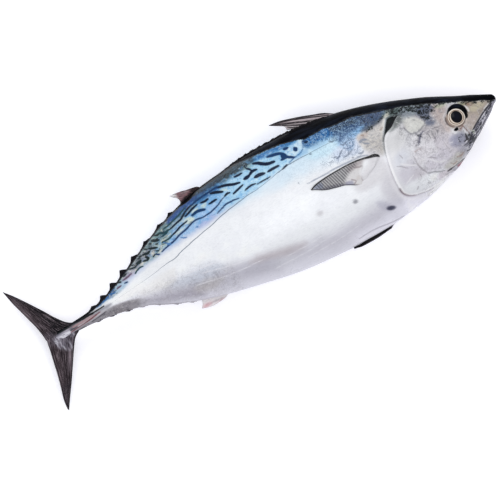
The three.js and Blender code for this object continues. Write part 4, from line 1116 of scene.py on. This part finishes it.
# ------------------------------------------------------------------ eyes
def eye_material():
    n = Nodes("eye")
    co = n.coords()
    r, p, shade = n.attr("er"), n.attr("pr"), n.attr("shade")
    wob = n.math("MULTIPLY", n.math("SUBTRACT", n.noise(co, 500, 2), 0.5), 0.5)
    rr, pp = n.math("ADD", r, wob), n.math("ADD", p, n.math("MULTIPLY", wob, 0.7))
    radial = n.noise(co, 1300, 3, 0.7)
    iris = n.mix(n.step(radial, 0.35, 0.7), lin("f0e7da"), lin("cdb9a6"))
    iris = n.mix(n.step(rr, 7.0, 7.4), iris, n.mix(n.step(radial, 0.3, 0.7), lin("f3ede4"), lin("ddd0c2")))
    ring = n.step(n.math("ABSOLUTE", n.math("SUBTRACT", rr, 6.7)), 0.6, 0.15, 0.0, 0.9)
    iris = n.mix(ring, iris, lin("6e5140"))
    inner = n.math("MULTIPLY", n.step(n.math("ABSOLUTE", n.math("SUBTRACT", rr, 8.05)), 0.5, 0.12, 0.0, 0.7), n.math("SUBTRACT", 1.0, shade))
    iris = n.mix(inner, iris, lin("8d7464"))
    col = n.mix(n.step(pp, 5.35, 5.7), lin("090a12"), lin("32241e"))
    col = n.mix(n.step(pp, 5.7, 6.05), col, iris)
    # outer rings: brown, turning near black where the shade attribute lays the painted shadow of the orbit's rim
    col = n.mix(n.step(rr, 8.25, 8.5), col, n.mix(shade, lin("2a1d18"), lin("0e0c0c")))
    col = n.mix(n.step(rr, 9.25, 9.6), col, n.mix(shade, lin("a8927f"), lin("0e0c0c")))
    col = n.mix(n.step(p, 1.0, 4.6, 0.35, 0.0), col, lin("14172a"))
    n.set(Base_Color=col, Roughness=n.step(radial, 0.2, 0.8, 0.12, 0.22))
    n.bsdf.inputs["Specular IOR Level"].default_value = 0.08
    n.bsdf.inputs["Coat Weight"].default_value = 0.06
    n.bsdf.inputs["Coat Roughness"].default_value = 0.03
    return n.mat


def build_eye(side, name, mat):
    c = np.array([EYE[0]])
    ring = ring_of(c, np.array([EYE[1]]))
    base, nrm = body_point(c, ring)[0], body_normal(c, ring)[0]
    a = np.array([1.0, 0, 0]) - nrm * nrm[0]
    a /= np.linalg.norm(a)
    b = np.cross(nrm, a)
    b *= np.sign(b[1])
    rows, turns = 46, 96
    r = 9.6 * np.linspace(0, 1, rows + 1)[1:] ** 0.8
    th = np.linspace(0, 2 * PI, turns, endpoint=False)
    RR, TH = np.meshgrid(r, th, indexing="ij")
    x, y = RR * np.cos(TH), RR * np.sin(TH)
    dome = np.sqrt(17.0**2 - RR**2) - 17.0
    h = 1.25 + dome - 0.35 * (1 - sm(5.0, 6.4, RR)) * 0.4 - 2.2 * sm(8.6, 9.6, RR)
    P = base + a * x[..., None] + b * y[..., None] + nrm * h[..., None]
    centre = base + nrm * 1.1
    pts = np.vstack([P.reshape(-1, 3), centre])
    deep = base - nrm * 4.5
    pts = np.vstack([pts, deep])
    er = np.concatenate([np.hypot((x - 0.5) / 1.04, y + 0.1).ravel(), [0, 9]])
    pr = np.concatenate([np.hypot((x - 0.3) * 1.05, (y - 0.1) * 0.97).ravel(), [0, 9]])
    # shade: painted shadow of the orbit's rim over the top and front of the eye
    shade = np.concatenate([sm(-1.2, 1.2, y * 0.75 - x * 0.62 - 0.4).ravel(), [0, 1]])
    if side < 0:
        pts = pts * np.array([1, 1, -1])
    n = rows * turns
    faces = []
    for i in range(rows - 1):
        for j in range(turns):
            k = (j + 1) % turns
            faces.append([i * turns + j, i * turns + k, (i + 1) * turns + k, (i + 1) * turns + j])
    for j in range(turns):
        k = (j + 1) % turns
        faces.append([n, k, j])
        faces.append([n + 1, (rows - 1) * turns + j, (rows - 1) * turns + k])
    if side < 0:
        faces = [f[::-1] for f in faces]
    return make(name, place(pts), faces, mat, {"er": er, "pr": pr, "shade": shade})


# ------------------------------------------------------------------ fins
def fin_grid(front, rear, nu, nv):
    a, b = even(front, nu + 1), even(rear, nu + 1)
    v = np.linspace(0, 1, nv + 1)
    return a[:, None, :] * (1 - v[None, :, None]) + b[:, None, :] * v[None, :, None]


def build_fin(name, front, rear, nu, nv, thick, mat, tone, origin=None, rays=20, ridge=0.12, bend=None, clear=None, marks=1.0):
    """Fin in the middle plane. thick(u, v) is its thickness, tone(s, t, u, v) its colour, origin the point its rays spread from."""
    st = fin_grid(front, rear, nu, nv)
    u = np.linspace(0, 1, nu + 1)[:, None] * np.ones((1, nv + 1))
    v = np.ones((nu + 1, 1)) * np.linspace(0, 1, nv + 1)[None, :]
    if origin is None:
        ray = v * rays
    else:
        ang = np.arctan2(st[..., 1] - origin[1], st[..., 0] - origin[0])
        lo, hi = ang[nu // 2 :, :].min(), ang[nu // 2 :, :].max()
        lo, hi = min(lo, np.percentile(ang, 2)), max(hi, np.percentile(ang, 98))
        ray = (ang - lo) / (hi - lo) * rays
    rim = np.minimum(1, np.minimum(np.minimum(v, 1 - v) * nv / 3.0, (1 - u) * nu / 3.0 + 0.2)) ** 0.6
    th = thick(u, v) * (0.35 + 0.65 * rim) + ridge * (0.5 - 0.5 * np.cos(2 * PI * ray)) * sm(0.02, 0.2, u)
    mid = np.zeros_like(u) if bend is None else bend(u, v, st)
    top = np.concatenate([st, (mid + th / 2)[..., None]], -1)
    low = np.concatenate([st, (mid - th / 2)[..., None]], -1)
    verts, faces = slab(top, low)
    verts = place(verts)
    col = to_linear(np.clip(tone(st[..., 0], st[..., 1], u, v), 0, 1)).reshape(-1, 3) * GAIN
    attrs = {"ray": both(ray), "out": both(u), "marks": both(0 * v + marks), "clear": both(clear(st[..., 0], st[..., 1], u, v) if clear else 0 * u)}
    return make(name, verts, outward(verts, faces), mat, attrs, np.vstack([col, col]))


def blend(base, *layers):
    out = base
    for mask, colour in layers:
        k = np.clip(mask, 0, 1)[..., None]
        out = out * (1 - k) + hexa(colour) * k
    return out


def fill(shape, colour):
    return np.ones(shape + (1,)) * hexa(colour)


def build_fins():
    tail = fin_material("tail_fin", "131116", "9a8c93", "09080b", spines=0.35, streaks=0.95, deep=0.9, shine=0.03, add=True)
    dark = fin_material("dark_fin", "141216", "4d474d", "0f0e12", spines=0.4, streaks=0.3, deep=0.5, shine=0.06)
    spiny = fin_material("spiny_fin", "121014", "d9cecf", "6a5c60", wide=(0.16, 0.26), spines=0.97, streaks=0.35, deep=0.3, see=1.0, shine=0.06)
    rosy = fin_material("rosy_fin", "2b2124", "b5838a", "33262a", wide=(0.3, 0.44), spines=0.6, streaks=0.55, deep=0.5, see=1.0, shine=0.08)
    pale = fin_material("pale_fin", "cdb9be", "ffffff", "d8bcc3", spines=0.25, streaks=0.4, deep=0.3, see=1.0)
    side_fin = fin_material("side_fin", "3c3d45", "e4e3e2", "8d8c92", wide=(0.04, 0.24), spines=0.72, streaks=0.22, deep=0.22, shine=0.12)

    def tail_tone(s, t, u, v):
        p = np.stack([s, t, 0 * s], -1)
        flat = np.stack([s.ravel(), t.ravel()], -1)

        def mask(points, soft):
            return region(flat, points, soft).reshape(s.shape)

        scratch = fbm(p * np.array([1.4, 0.45, 1]), 3.2, 19)
        silver = mask([(450, -3.5), (462, -2.6), (472, -1), (475, -6), (472, -14), (463, -19), (456, -11)], 2.6)
        grey = mask([(468, 4), (481, 5), (481, -9), (470, -5)], 3)
        black = mask([(446, 6), (456, 12), (472, 33), (486, 52), (494, 60), (484, 42), (477, 28), (471, 12), (472, 3), (466, -2.6), (450, -2.6), (444, -1)], 2.2)
        low = mask([(483, -46), (492, -50), (494, -70), (488, -64), (478, -46)], 3)
        return blend(
            fill(s.shape, "292226"),
            (0.7 * sm(0.0, 0.6, fbm(p * np.array([1.0, 0.5, 1]), 7, 11)), "4e4047"),
            (mask([(483, 14), (487, 26), (492, 46), (488, 44), (483, 28), (479, 14)], 2.2) * 0.75, "665b60"),
            (mask([(480, -16), (486, -36), (490, -50), (484, -44), (476, -24)], 2.6) * 0.5, "5d5156"),
            (mask([(459, -14), (463, -13.4), (470, -24), (476, -36), (473, -37), (465, -25)], 1.6) * 0.6, "82777f"),
            (sm(0.9, 1.0, v) * 0.35, "565056"),
            (sm(0.90, 1.0, u) * 0.7, "1f1d22"),
            (low * 0.75, "1a1920"),
            (grey * 0.55, "5f5a63"),
            (silver * (0.7 + 0.25 * sm(-0.3, 0.2, scratch)), "7b7783"),
            (silver * 0.8 * sm(0.12, 0.44, scratch), "d3d2dd"),
            (silver * 0.8 * sm(-0.05, -0.4, scratch), "3b3740"),
            (black * 0.97, "0b0c10"),
            (sm(0.07, 0.02, v) * 0.85, "131217"),
        )

    build_fin(
        "tail_upper", [(444, -1), (450, 2.2), (456, 6), (463, 14.5), (470, 25.2), (480, 39.6), (488, 50.4), (495.6, 59.4)],
        [(475, -9), (480.2, -2), (481.2, 5), (483.2, 15), (486.2, 25), (489.2, 35), (492.2, 45), (495.4, 58.8)],
        110, 56, lambda u, v: 4.0 * (1 - u) ** 1.6 * (1 - 0.55 * v) + 1.1 - 0.35 * u, tail, tail_tone, rays=20,
    )
    build_fin(
        "tail_lower", [(444, -4), (450, -8), (455, -11.5), (461, -20), (470, -34.2), (478, -46.8), (486, -58.6), (492.8, -69.2)],
        [(475, 4), (480.2, -2.4), (481.6, -10), (484, -22), (486.6, -35), (489.2, -46), (492.2, -57), (493.4, -66.5)],
        110, 56, lambda u, v: 4.0 * (1 - u) ** 1.6 * (1 - 0.55 * v) + 1.1 - 0.35 * u, tail, tail_tone, rays=20,
    )

    def spines(s, t, lines):
        flat = np.stack([s.ravel(), t.ravel()], -1)
        out = np.zeros(len(flat))
        for points, half in lines:
            d, k = distance(flat, curve(points), 6)
            out = np.maximum(out, sm(0.35, -0.3, d - half * (0.55 + 0.45 * np.sqrt(np.clip(4 * k * (1 - k), 0, 1)))))
        return out.reshape(s.shape)

    D1_LINES = [
        ([(140, 59.8), (150, 64.3), (160, 67.9), (170, 71.3), (180, 74.3), (190, 76.9), (200, 78.4)], 1.0),
        ([(146, 60.6), (156, 64.4), (166, 68.2), (176, 71.9), (186, 75), (196, 77.4)], 0.55),
        ([(158, 61.8), (166, 64.8), (175, 68.4), (185, 72.4), (195, 76.2)], 0.8),
        ([(168, 63), (176, 66), (183, 69.6), (189, 72.6)], 0.65), ([(175, 63.6), (181, 66), (186, 69.2)], 0.55), ([(181, 64.4), (187.4, 67.4)], 0.5),
        ([(187.6, 70.6), (191.4, 73), (195.6, 75.5), (199.6, 77.8)], 0.65),
    ]

    def d1_tone(s, t, u, v):
        return blend(
            fill(s.shape, "bdb1b5"), (sm(0.55, 0.9, v), "dbd1d4"), (sm(0.6, 0.98, u) * 0.7, "6a6065"),
            (sm(0.10, 0.0, u) * 0.8, "1b191c"), (spines(s, t, D1_LINES) * 0.95, "17151a"),
        )

    build_fin(
        "first_back_fin", [(137, 57), (144, 61.5), (150, 65), (160, 68.5), (170, 72), (180, 75), (190, 77.6), (200.4, 78.7)],
        [(152, 58), (166, 61.5), (180, 64.5), (187, 67), (187.5, 70.4), (191, 72.8), (195.5, 75.4), (199.8, 77.9)],
        120, 84, lambda u, v: 1.7 - 0.9 * u, spiny, d1_tone, rays=7, ridge=0.3, marks=0.0,
        clear=lambda s, t, u, v: 0.25 * sm(0.4, 0.8, v) * sm(0.15, 0.4, u) * (1 - spines(s, t, D1_LINES)),
    )

    def d2_tone(s, t, u, v):
        base = sm(1.6, -1.2, t - (57.4 - 0.36 * (s - 299)))
        return blend(
            fill(s.shape, "86696e"), (sm(298, 287, s), "463a3f"), (0.8 * bump(np.hypot((s - 299) / 4, (t - 61) / 1.4), 1), "a99b9e"), (sm(306, 309.5, s), "dedcd9"), (sm(0.16, 0.02, v) * (1 - sm(301, 305, s)), "171417"), (base * (1 - sm(307, 311, s)), "141215"),
        )

    build_fin(
        "second_back_fin", [(283, 56), (286.5, 59.6), (290.5, 60.8), (297, 61.8), (303, 63.2), (309, 64), (314.2, 64.4)],
        [(310, 49), (308.6, 52.6), (307.4, 55), (307.8, 57.4), (309.6, 59.6), (311.6, 61.6), (313.8, 63.6)],
        56, 44, lambda u, v: 1.7 - 1.1 * u, rosy, d2_tone, origin=(282, 50), rays=11, ridge=0.2,
        clear=lambda s, t, u, v: 0.55 * sm(305, 310, s),
    )

    def anal_tone(s, t, u, v):
        red = np.hypot((s - 331) / 4.6, (t + 42.8) / 1.8)
        streak = np.hypot((s - 321) / 8, (t + 43.2 - 0.06 * (s - 321)) / 0.9)
        return blend(fill(s.shape, "faf7f9"), (0.55 * bump(streak, 1), "a39aa1"), (0.6 * bump(red, 1), "d9848f"), (0.4 * bump(np.hypot((s - 317) / 3.5, (t + 44.6) / 0.9), 1), "c98a92"), (0.35 * sm(0.25, 0.6, fbm(np.stack([s, t, 0 * s], -1), 3, 44)), "b3aab0"))

    build_fin(
        "anal_fin", [(306, -41), (311.5, -44.6), (318, -45.8), (324, -46.3), (330, -45.8), (337, -43.6)],
        [(333, -34), (333.4, -37), (334, -39), (334.6, -40.4), (335.4, -41.4), (336.6, -42.4)],
        44, 30, lambda u, v: 1.4 - 0.9 * u, pale, anal_tone, origin=(306, -34), rays=12, ridge=0.15,
        clear=lambda s, t, u, v: 0.08 + 0.5 * sm(0.75, 1.0, u),
    )

    # folded rest of the first back fin, lying in its groove
    u = np.linspace(0, 1, 300)
    s = 146 + 118 * u
    saw = 0.75 * (1 - np.mod((s - 150) / 7.4, 1.0)) + 0.25 * noise(np.stack([s / 1.5, 0 * s, 0 * s], -1), 8)
    high = (0.9 + saw) * sm(0, 0.1, u) * (1 - sm(0.8, 1.0, u)) * 1.15
    half = 1.25 * (1 - 0.4 * u)
    ringn = np.linspace(0, PI, 13)
    S = s[:, None] * np.ones(13)
    T = back(s)[:, None] - 1.2 + (high[:, None] + 1.2) * np.sin(ringn)[None, :]
    W = half[:, None] * np.cos(ringn)[None, :]
    P = np.stack([S, T, W], -1)
    B = np.stack([S, back(S) - 2.2, W * 0.6], -1)
    verts, faces = slab(P, B)
    verts = place(verts)
    col = to_linear(np.tile(hexa("19171b"), (len(verts), 1))) * GAIN
    attrs = {"ray": both(S / 7.4), "clear": both(0 * S), "out": both(S / 40), "marks": both(0 * S + 1)}
    make("folded_back_fin", verts, outward(verts, faces), dark, attrs, col)

    # finlets above and below the tail stem
    vs, fs, cs, at = [], [], [], {"ray": [], "clear": [], "out": [], "marks": []}
    for up, apexes in ((True, [(322.5, 51.4, 3), (336.6, 46.3, 4), (355.4, 38.6, 4.4), (372.6, 31.5, 4.4), (388.2, 25.2, 4.2), (402.2, 18.8, 4), (415.6, 12.8, 3.6), (427.6, 8.0, 3)]),
                       (False, [(341, -35.4, 2.6), (355, -30.2, 2.8), (370, -22.8, 3), (384, -17.2, 2.8), (398, -14.2, 2.6), (413.5, -11.2, 2.6), (427, -9.4, 2.2)])):
        for a, tt, size in apexes:
            line = back if up else belly
            sg = 1 if up else -1
            tt = tt - sg * 0.3
            front = [(a - 1.7 * size, line(a - 1.7 * size) - sg * 1.2), (a - 1.3 * size, line(a - 1.3 * size) + sg * 0.3), (a - 0.45 * size, tt - sg * 0.45), (a, tt)]
            rear = [(a + 2.3 * size, line(a + 2.3 * size) - sg * 1.2), (a + 1.5 * size, line(a + 1.5 * size) + sg * 0.1), (a + 0.7 * size, line(a + 0.7 * size) + sg * 0.8), (a + 0.45, tt - sg * 0.25)]
            front = [(x, float(y)) for x, y in front]
            rear = [(x, float(y)) for x, y in rear]
            st = fin_grid(front, rear, 16, 14)
            uu = np.linspace(0, 1, 17)[:, None] * np.ones((1, 15))
            vv = np.ones((17, 1)) * np.linspace(0, 1, 15)[None, :]
            ray = vv * 5
            th = (1.5 - 0.9 * uu) * (0.4 + 0.6 * np.minimum(1, np.minimum(vv, 1 - vv) * 5)) + 0.14 * (0.5 - 0.5 * np.cos(2 * PI * ray))
            lean = 0.5 * noise(np.array([[a, tt, 0.0]]), 5)[0] * uu
            v4, f4 = slab(np.concatenate([st, (lean + th / 2)[..., None]], -1), np.concatenate([st, (lean - th / 2)[..., None]], -1))
            v4 = place(v4)
            f4 = np.array(outward(v4, f4)) + sum(len(x) for x in vs)
            if up:
                base = blend(fill(uu.shape, "121115"), (sm(0.6, 1.0, vv) * 0.4, "35333a"))
                clear = 0 * uu
            elif a > 390:
                base = blend(fill(uu.shape, "57535a"), (sm(0.4, 0.0, uu), "9a959c"), (sm(0.6, 1.0, vv) * 0.5, "8f8b92"))
                clear = 0.3 * sm(0.5, 1.0, vv)
            else:
                base = blend(fill(uu.shape, "b5b1ba"), (sm(0.6, 1.0, uu) * 0.5, "8a868f"))
                clear = 0.45 + 0.25 * sm(0.4, 1.0, vv)
            vs.append(v4); fs += f4.tolist(); cs.append(np.vstack([to_linear(base).reshape(-1, 3)] * 2) * GAIN)
            for key, value in (("ray", ray), ("clear", clear), ("out", uu), ("marks", 0 * uu + (1.0 if up else 0.3))):
                at[key].append(both(value))
    make("finlets", np.vstack(vs), fs, finlet_material(), {k: np.concatenate(a) for k, a in at.items()}, np.vstack(cs))

    # pectoral fins, flat on the flank
    front = [(122.2, 3.0), (122.8, 5.4), (125, 7.6), (128, 8.7), (132, 9.0), (137, 9.9), (145, 11), (155, 11.4), (165, 11.2), (175, 10.7), (185, 9.5), (190, 8.4), (194.2, 6.5)]
    rear = [(134, -5), (139, -8.5), (145.5, -12.6), (149, -11.9), (152, -10.7), (155, -9.6), (160, -6.9), (165, -4.7), (170, -3.7), (175, -2.4), (180, -1.1), (185, 1), (190, 4), (193.9, 5.9)]
    lead_line = curve([(122.8, 4.4), (125, 6.0), (128, 6.9), (132, 7.6), (137, 8.9), (145, 10.2), (155, 10.7), (165, 10.5), (175, 10.0), (185, 8.8), (190, 7.8), (193.8, 6.4)])
    rear_line = curve([(152, -10.6), (155, -9.4), (160, -6.7), (165, -4.5), (170, -3.5), (175, -2.2), (180, -0.9), (185, 1.2), (190, 4.1), (193.8, 6.2)])
    folds = [([(148, 5.2), (144, 3.8), (141.4, 3.2), (143.6, -0.6)], 0.7), ([(144.6, -2.8), (147.2, -7.6), (145.6, -12)], 0.6), ([(156, -3), (153, -6), (156, -8)], 0.5)]
    for side, name in ((1, "pectoral_right"), (-1, "pectoral_left")):
        nu, nv = 150, 84
        st = fin_grid(front, rear, nu, nv)
        uu = np.linspace(0, 1, nu + 1)[:, None] * np.ones((1, nv + 1))
        vv = np.ones((nu + 1, 1)) * np.linspace(0, 1, nv + 1)[None, :]
        s, t = st[..., 0], st[..., 1]
        flat = np.stack([s.ravel(), t.ravel()], -1)

        def mask(points, soft):
            return region(flat, points, soft).reshape(s.shape)

        ray = (s + 0.36 * (10 - t) - 0.004 * (10 - t) ** 2) / 2.35
        marks = mask([(188, 10), (150, 12), (146, 7), (156, 3), (163, -2), (170, -5), (182, -2), (189, 4)], 2.5)
        ring = ring_of(s, t)
        rim = np.minimum(1, np.minimum(np.minimum(vv * nv, (1 - vv) * nv) / 4, (1 - uu) * nu / 5 + 0.1)) ** 0.5
        lead = distance(flat, lead_line, 8)[0].reshape(s.shape)
        trail, along = (a.reshape(s.shape) for a in distance(flat, rear_line, 8))
        thick = np.interp(s, [122, 126, 132, 138, 150, 175, 194], [1.0, 1.7, 1.2, 0.85, 0.65, 0.6, 0.75])
        fade = 1 - (1 - sm(0, 0.4, 1 - vv)) * (1 - sm(144, 156, s))
        high = (0.3 + 0.9 * rim * fade + 0.5 * bump(lead / thick, 1.2) + 0.14 * marks * (0.5 - 0.5 * np.cos(2 * PI * ray))) * sm(0, 0.05, uu)
        high = high + 0.6 * sm(0.55, 1, uu) * (1 - vv) + 0.2 * np.sin(3 * uu + 2 * vv) * fade - 1.1 * (1 - fade)
        P, nn = skin_point(s, ring, high)
        B, _ = skin_point(s, ring, np.full_like(s, -1.6))
        if side < 0:
            P, B = P * np.array([1, 1, -1]), B * np.array([1, 1, -1])
        verts, faces = slab(P, B)
        verts = place(verts)
        p = np.stack([s, t, 0 * s], -1)
        bp = body_point(s, ring).reshape(-1, 3) * np.array([1, 1, side])
        under = paint(bp[:, 0], bp[:, 1], bp[:, 2], bp)[0].reshape(s.shape + (3,))
        sunk = mask([(118, 3), (128, 6.6), (137, 7.4), (141, 3), (146, -1), (147, -7), (144, -14), (136, -14), (118, -6)], 2.4)[..., None]
        base = blend(
            fill(s.shape, "c2c1c2"),
            (mask([(131, 8), (150, 10), (156, 5), (150, 2), (140, 3)], 2.5) * 0.7, "aea4a6"),
            (mask([(131, 5), (142, 5), (152, 4), (160, 1), (162, -6), (155, -12), (146, -16), (128, -12)], 2.6) * 0.95, "dcdadb"),
            (0.35 * sm(0.1, 0.5, fbm(p, 5, 21)) * (1 - marks), "c9bfbb"),
            (mask([(160, -4), (172, 0), (184, 3), (190, 4.6), (182, -1), (170, -5)], 1.6) * 0.75, "74737d"),
            (mask([(156, -4), (162, -3), (162, -7), (156, -9)], 1.4) * 0.7, "8f8fa6"),
            (mask([(183, 8.4), (191, 7), (190, 4.6), (184, 2.6), (182, 5)], 1.2) * 0.8, "8f99b0"),
            (sm(0.6, -0.3, trail - 0.45) * sm(0.0, 0.12, along) * 0.85, "2b2d38"),
            (sm(0.5, -0.4, lead - thick) * 0.96, "101014"),
            *((sm(0.5, -0.3, distance(flat, curve(pts), 5)[0].reshape(s.shape) - h2) * 0.6, "8f8285") for pts, h2 in folds),
        )
        ink = sm(0.5, -0.4, lead - thick)[..., None]
        col = (to_linear(base) * GAIN * (1 - sunk * (1 - ink)) + under * sunk * (1 - ink)).reshape(-1, 3)
        marks = marks * sm(-0.2, 0.6, lead - thick)
        make(name, verts, outward(verts, faces), side_fin, {"ray": both(ray), "clear": both(0 * s), "out": both(t / 12), "marks": both(marks)}, np.vstack([col, col]))

    # pelvic fins, folded back on the belly
    for side, name in ((1, "pelvic_right"), (-1, "pelvic_left")):
        nu, nv = 70, 22
        uu = np.linspace(0, 1, nu + 1)[:, None] * np.ones((1, nv + 1))
        vv = np.ones((nu + 1, 1)) * np.linspace(0, 1, nv + 1)[None, :]
        s = 139 + 45 * uu + 1.5 * vv * (1 - uu)
        wide = 0.115 * np.sin(PI * (0.10 + 0.86 * uu)) ** 0.8
        ring = -PI / 2 + 0.03 + wide * vv + 0.03 * uu
        high = (0.5 + 1.5 * np.sin(PI * np.clip(vv, 0, 1)) ** 0.5 + 1.0 * sm(0.1, 0.6, uu)) * sm(0, 0.12, uu) * (1 - 0.45 * sm(0.8, 1, uu))
        ray = vv * 6
        P, _ = skin_point(s, ring, high + 0.18 * (0.5 - 0.5 * np.cos(2 * PI * ray)))
        B, _ = skin_point(s, ring, np.minimum(high - 0.8, 0.5 * sm(0.3, 0.9, uu)))
        if side < 0:
            P, B = P * np.array([1, 1, -1]), B * np.array([1, 1, -1])
        verts, faces = slab(P, B)
        verts = place(verts)
        base = blend(fill(s.shape, "4a454b"), (0.8 * sm(0.6, 0.0, vv), "aaa5ac"), (0.8 * sm(0.16, 0.0, uu), "c6c2cb"), (sm(0.72, 0.86, vv) * sm(0.02, 0.12, uu), "141316"), (0.8 * sm(0.75, 1.0, uu), "1d1b20"))
        col = to_linear(base).reshape(-1, 3) * GAIN
        attrs = {"ray": both(ray), "clear": both(0 * s), "out": both(uu * 2), "marks": both(0 * s + 0.8)}
        make(name, verts, outward(verts, faces), dark, attrs, np.vstack([col, col]))


def finlet_material():
    return fin_material("finlets", "131216", "77727a", "0f0e12", spines=0.35, streaks=0.2, deep=0.3, see=1.0, shine=0.06)


body = build_body()
build_gill(1, "gill_cover_right")
build_gill(-1, "gill_cover_left")
EYE_MAT = eye_material()
build_eye(1, "eye_right", EYE_MAT)
build_eye(-1, "eye_left", EYE_MAT)
build_fins()


# ------------------------------------------------------------------ stage
def stage():
    me = bpy.data.meshes.new("floor")
    k = 12.0
    me.from_pydata([(-k, -k, -0.0002), (k, -k, -0.0002), (k, k, -0.0002), (-k, k, -0.0002)], [], [(0, 1, 2, 3)])
    floor = bpy.data.objects.new("floor", me)
    bpy.context.scene.collection.objects.link(floor)
    n = Nodes("floor")
    n.set(Base_Color=(0.93, 0.93, 0.96, 1), Roughness=0.9, Emission_Color=(0.95, 0.95, 1.0, 1), Emission_Strength=0.27)
    n.bsdf.inputs["Specular IOR Level"].default_value = 0.1
    me.materials.append(n.mat)

    world = bpy.data.worlds.new("studio")
    bpy.context.scene.world = world
    world.use_nodes = True
    bg = world.node_tree.nodes["Background"]
    bg.inputs[0].default_value = (0.955, 0.965, 1.0, 1)
    bg.inputs[1].default_value = 0.6

    def lamp(name, at, aim, size, power):
        light = bpy.data.lights.new(name, "AREA")
        light.shape = "RECTANGLE"
        light.size, light.size_y = size
        light.energy = power
        ob = bpy.data.objects.new(name, light)
        bpy.context.scene.collection.objects.link(ob)
        ob.location = at
        d = np.array(aim) - np.array(at)
        from mathutils import Vector
        ob.rotation_euler = Vector(d).to_track_quat("-Z", "Y").to_euler()
        ob.visible_camera = False
        return ob

    lamp("softbox_back", (0.25, 1.15, 1.35), (0, 0, 0.03), (1.6, 0.9), 11)
    lamp("softbox_top", (-0.1, -0.35, 1.7), (0, 0, 0.03), (1.4, 1.0), 9.5)

    cam = bpy.data.cameras.new("camera")
    ob = bpy.data.objects.new("camera", cam)
    bpy.context.scene.collection.objects.link(ob)
    far = 12.0
    cam.sensor_width = 36
    cam.lens = 36 * (far - 0.0395) / 0.470
    cam.clip_end = 100
    ob.location = ((ORIGIN_S - 271.09) / 1000, (-16.26 - ORIGIN_T) / 1000, far)
    ob.rotation_euler = (0, 0, math.atan2(-0.47242353, 0.88137166))
    bpy.context.scene.camera = ob
    bpy.context.scene.view_settings.view_transform = "Standard"
    bpy.context.scene.view_settings.look = "None"
    bpy.context.scene.view_settings.exposure = 0
    bpy.context.scene.view_settings.gamma = 1


stage()
